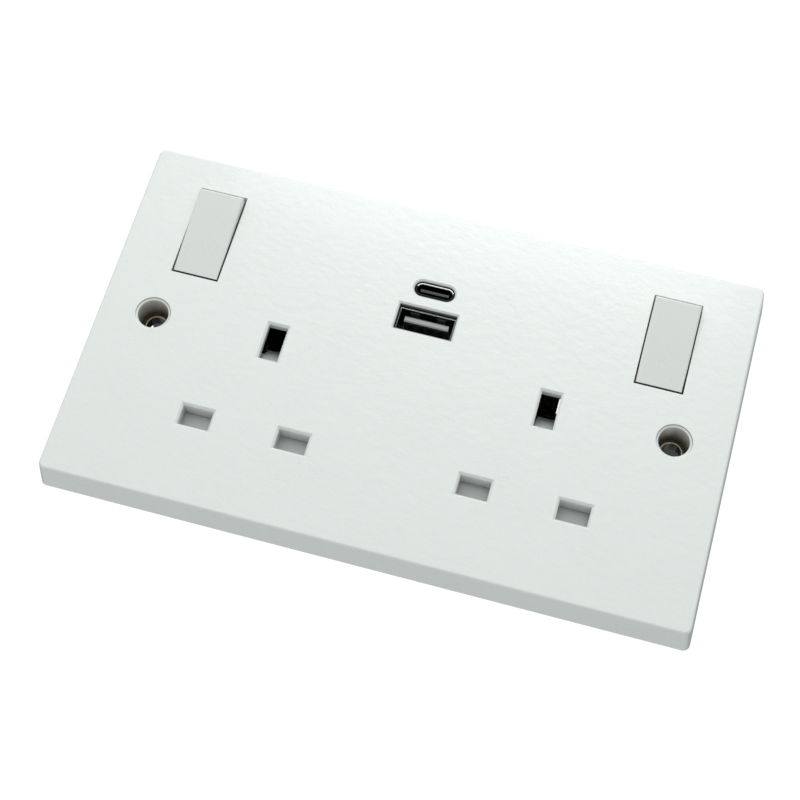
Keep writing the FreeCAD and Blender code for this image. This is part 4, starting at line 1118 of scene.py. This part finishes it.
@dataclass
class Housing:
    """The moulded base, its screws and the cover over the USB supply."""

    def build(self, kit: Kit) -> None:
        """Dresses the base, the cover and the screws.

        Args:
            kit: the shared making.
        """
        kit.dress(BASE, "rear_housing")
        kit.dress(COVER, "usb_cover")
        kit.dress(PLATED, "housing_screws")


@dataclass(frozen=True)
class Row:
    """A row of like blocks on the circuit board, in millimetres."""

    x: float
    z: float
    wide: float
    tall: float
    count: int = 1
    step_x: float = 0.0
    step_z: float = 0.0


@dataclass(frozen=True)
class SmallParts:
    """One kind of small part that lies flat on the board's back face."""

    name: str
    finish: Finish
    slot: str
    thick: float
    round_share: float
    rows: tuple[Row, ...]

    def grid(self, back: float) -> np.ndarray:
        """The points of all its blocks.

        Args:
            back: where the board's back face lies along Y.

        Returns:
            The grid, with one stack for each block.
        """
        blocks = []
        for row in self.rows:
            size = (row.wide * MM, self.thick, row.tall * MM)
            for step in range(row.count):
                x = (row.x + row.step_x * step) * MM
                z = (row.z + row.step_z * step) * MM
                centre = np.array([x, back + self.thick / 2, z])
                blocks.append(pillow(centre, size, self.round_share))
        return np.stack(blocks)


BOARD_PARTS = (
    SmallParts(
        "board_chips",
        CHIP,
        "tongue_black",
        thick=1.5 * MM,
        round_share=0.15,
        rows=(
            Row(13.6, 14.6, 3.9, 4.9),
            Row(-13.4, 17.0, 3.9, 4.9),
            Row(-13.6, 27.0, 2.9, 2.9),
        ),
    ),
    SmallParts(
        "board_passives",
        CERAMIC,
        "contact_copper",
        thick=0.8 * MM,
        round_share=0.2,
        rows=(
            Row(14.8, 20.0, 1.6, 0.8, 5, step_z=1.9),
            Row(-13.5, 30.6, 1.6, 0.8, 5, step_x=2.4),
        ),
    ),
    SmallParts(
        "solder_joints",
        SOLDER,
        "screw_steel",
        thick=0.5 * MM,
        round_share=1.0,
        rows=(
            Row(-6.0, 11.4, 1.1, 1.1, 4, step_x=1.0),
            Row(3.4, 29.6, 1.1, 1.1, 5, step_x=1.6),
        ),
    ),
)


@dataclass
class UsbSupply:
    """Both USB outlets and the board that feeds them."""

    pad_size: Triple = (0.24 * MM, 3.2 * MM, 0.06 * MM)
    pad_pitch: float = 0.5 * MM
    pad_count: int = 12
    pad_set_back: float = 0.5 * MM
    pad_rise: float = 0.35 * MM
    pad_round_share: float = 0.3
    shell_wall: float = 0.3 * MM
    leaf_x: float = 3.1 * MM
    leaf_width: float = 2.2 * MM
    leaf_length: float = 4.2 * MM
    leaf_set_back: float = 1.2 * MM
    leaf_bow: float = 0.32 * MM
    leaf_front: float = 0.1 * MM
    leaf_root: float = 0.02 * MM
    leaf_taper: float = 0.3
    leaf_points: int = 16

    def build(self, kit: Kit) -> None:
        """Dresses the connectors and the board, and adds their small parts.

        Args:
            kit: the shared making.
        """
        kit.dress(SHELL, "usb_a_shell")
        kit.dress(DARK_SHELL, "usb_c_shell")
        kit.dress(TONGUE, "usb_a_tongue")
        kit.dress(DARK_TONGUE, "usb_c_tongue")
        kit.dress(GOLD, "usb_a_contacts")
        kit.dress(BOARD, "usb_board")
        kit.dress(FERRITE, "transformer_core")
        kit.dress(WINDING, "transformer_winding")
        kit.dress(CAN, "input_capacitors", "output_capacitor")
        self.make_pads(kit)
        self.make_leaves(kit)
        self.make_board_parts(kit)

    def make_pads(self, kit: Kit) -> None:
        """Lays the gold pads on both faces of the narrow tongue.

        Pad k lies at pitch * (k - (count - 1) / 2) from the middle.

        Args:
            kit: the shared making.
        """
        low, high = (np.array(corner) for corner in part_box("usb_c_tongue"))
        middle = (low[2] + high[2]) / 2
        across = self.pad_pitch * (np.arange(self.pad_count) - (self.pad_count - 1) / 2)
        y = low[1] + self.pad_set_back + self.pad_size[1] / 2
        levels = (middle - self.pad_rise, middle + self.pad_rise)
        places = [np.array([x, y, z]) for x in across for z in levels]
        pads = [pillow(place, self.pad_size, self.pad_round_share) for place in places]
        kit.piece("narrow_tongue_pads", np.stack(pads), GOLD, "housing", "contact_gold")

    def make_leaves(self, kit: Kit) -> None:
        """Adds the sprung leaves that grip a plug, bowed inwards from the shell's broad walls.

        A leaf's depth below the wall is bow * sin(pi * s)^2 along its length s.

        Args:
            kit: the shared making.
        """
        low, high = (np.array(corner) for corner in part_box("usb_a_shell"))
        along = np.linspace(0, 1, self.leaf_points)
        bow = self.leaf_bow * np.sin(math.pi * along) ** 2
        y = low[1] + self.leaf_set_back + self.leaf_length * along
        half = self.leaf_width / 2 * (1 - self.leaf_taper * along)
        walls = ((low[2] + self.shell_wall, 1), (high[2] - self.shell_wall, -1))
        stacks = []
        for x in (-self.leaf_x, self.leaf_x):
            for wall, inward in walls:
                inner = wall + inward * (bow + self.leaf_front)
                outer = wall + inward * (bow - self.leaf_root)
                outline = ((-half, outer), (half, outer), (half, inner), (-half, inner))
                ring = [np.stack([x + side, y, z], axis=-1) for side, z in outline]
                stacks.append(np.stack(ring[::inward], axis=1))
        kit.piece("shell_leaves", np.stack(stacks), LEAF, "housing", "shell_steel", smooth=False)

    def make_board_parts(self, kit: Kit) -> None:
        """Sets chips, passives and solder joints on the board's back face.

        Args:
            kit: the shared making.
        """
        _, high = (np.array(corner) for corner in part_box("usb_board"))
        for parts in BOARD_PARTS:
            kit.piece(parts.name, parts.grid(high[1]), parts.finish, "housing", parts.slot)


@dataclass(frozen=True)
class Lamp:
    """One square area light: where it hangs, the point it faces, its side and its power."""

    name: str
    place: Triple
    target: Triple
    size: float
    power: float

    def hang(self) -> None:
        """Adds the light to the scene."""
        light = bpy.data.lights.new(self.name, "AREA")
        light.size = self.size
        light.energy = self.power
        lamp = bpy.data.objects.new(self.name, light)
        lamp.location = self.place
        way = Vector(self.target) - Vector(self.place)
        lamp.rotation_euler = way.to_track_quat("-Z", "Y").to_euler()
        bpy.context.scene.collection.objects.link(lamp)


@dataclass
class Studio:
    """A pale floor, a white surround, soft lights and the camera at the photograph's angle.

    The first lamp hangs high in front, near enough to fade down the plate, and the second is a
    weak fill from the left. The camera's place and its right, down and forward directions were
    fitted to the photograph, with its focal length in pixels of the frame's width.
    """

    eye: Triple = (0.04724, -0.36580, -0.16496)
    right: Triple = (0.963535, 0.009469, 0.267413)
    down: Triple = (0.238666, 0.421458, -0.874878)
    forward: Triple = (-0.120988, 0.906798, 0.403830)
    focal: float = 1773.0
    frame_width: float = 800.0
    sensor: float = 36.0
    clip: Span = (0.01, 20.0)
    floor_height: float = -0.42
    floor_reach: float = 3.0
    dome_top: Triple = (-0.10, -0.55, 0.83)
    dome_reach: Span = (-0.7, 1.0)
    dome_strength: Span = (0.10, 0.80)
    dome_colour: Triple = (0.96, 1.0, 0.985)
    seen_colour: Triple = (1.0, 1.0, 1.0)
    seen_strength: float = 1.05
    lamps: tuple[Lamp, ...] = (
        Lamp("overhead", (-0.03, -0.34, 0.36), (0.0, 0.0, 0.03), 0.26, 1.0),
        Lamp("left_fill", (-0.7, -0.6, -0.05), (0.0, 0.0, 0.0), 0.5, 0.3),
    )

    def build(self, kit: Kit) -> None:
        """Sets up the whole studio.

        Args:
            kit: the shared making.
        """
        self.make_floor(kit)
        self.make_surround()
        for lamp in self.lamps:
            lamp.hang()
        self.make_camera()

    def make_floor(self, kit: Kit) -> None:
        """Lays a wide, pale floor well below the socket.

        Args:
            kit: the shared making.
        """
        mesh = bpy.data.meshes.new("floor")
        signs = ((-1, -1), (1, -1), (1, 1), (-1, 1))
        reach = self.floor_reach
        points = [(x * reach, y * reach, self.floor_height) for x, y in signs]
        mesh.from_pydata(points, [], [(0, 1, 2, 3)])
        mesh.materials.append(kit.material(FLOOR))
        floor = bpy.data.objects.new("floor", mesh)
        bpy.context.scene.collection.objects.link(floor)

    def make_surround(self) -> None:
        """Surrounds the scene with plain white for the eye and a dome of light for the object.

        The dome is brightest high in front and fades smoothly to its lowest strength behind and
        below.
        """
        world = bpy.data.worlds.new("white_surround")
        bpy.context.scene.world = world
        bench = Bench(world)
        way = bench.signal("ShaderNodeTexCoord", output="Generated")
        facing = bench.signal(
            "ShaderNodeVectorMath",
            {"operation": "DOT_PRODUCT"},
            {0: way, 1: Vector(self.dome_top).normalized()},
            "Value",
        )
        fade = bench.signal(
            "ShaderNodeMapRange",
            {"interpolation_type": "SMOOTHSTEP"},
            {
                "Value": facing,
                "From Min": self.dome_reach[0],
                "From Max": self.dome_reach[1],
                "To Min": self.dome_strength[0],
                "To Max": self.dome_strength[1],
            },
        )
        lit = bench.signal(
            "ShaderNodeBackground", None, {"Color": (*self.dome_colour, 1.0), "Strength": fade}
        )
        seen = bench.signal(
            "ShaderNodeBackground",
            None,
            {"Color": (*self.seen_colour, 1.0), "Strength": self.seen_strength},
        )
        camera_ray = bench.signal("ShaderNodeLightPath", output="Is Camera Ray")
        mix = bench.signal("ShaderNodeMixShader", None, {0: camera_ray, 1: lit, 2: seen})
        bench.node("ShaderNodeOutputWorld", None, {"Surface": mix})

    def make_camera(self) -> None:
        """Sets the camera where the photograph was taken from."""
        data = bpy.data.cameras.new("photo_camera")
        data.sensor_width = self.sensor
        data.lens = self.focal * self.sensor / self.frame_width
        data.clip_start, data.clip_end = self.clip
        camera = bpy.data.objects.new("photo_camera", data)
        columns = (Vector(self.right), -Vector(self.down), -Vector(self.forward))
        turn = Matrix(columns).transposed().to_4x4()
        camera.matrix_world = Matrix.Translation(Vector(self.eye)) @ turn
        bpy.context.scene.collection.objects.link(camera)
        bpy.context.scene.camera = camera
        bpy.context.scene.view_settings.view_transform = "Standard"


def main() -> None:
    """Builds every sub-assembly in order, then the studio."""
    logging.basicConfig(level=logging.INFO, format="%(name)s: %(message)s")
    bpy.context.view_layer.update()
    kit = Kit()
    assemblies: list[Any] = [Front()]
    assemblies += [Switch(side) for side in Side]
    assemblies += [Shutter(side) for side in Side]
    assemblies += [Wiring(), Housing(), UsbSupply(), Studio()]
    for assembly in assemblies:
        assembly.build(kit)
    LOG.info("made %d pieces", kit.count)


if __name__ == "__main__":
    main()
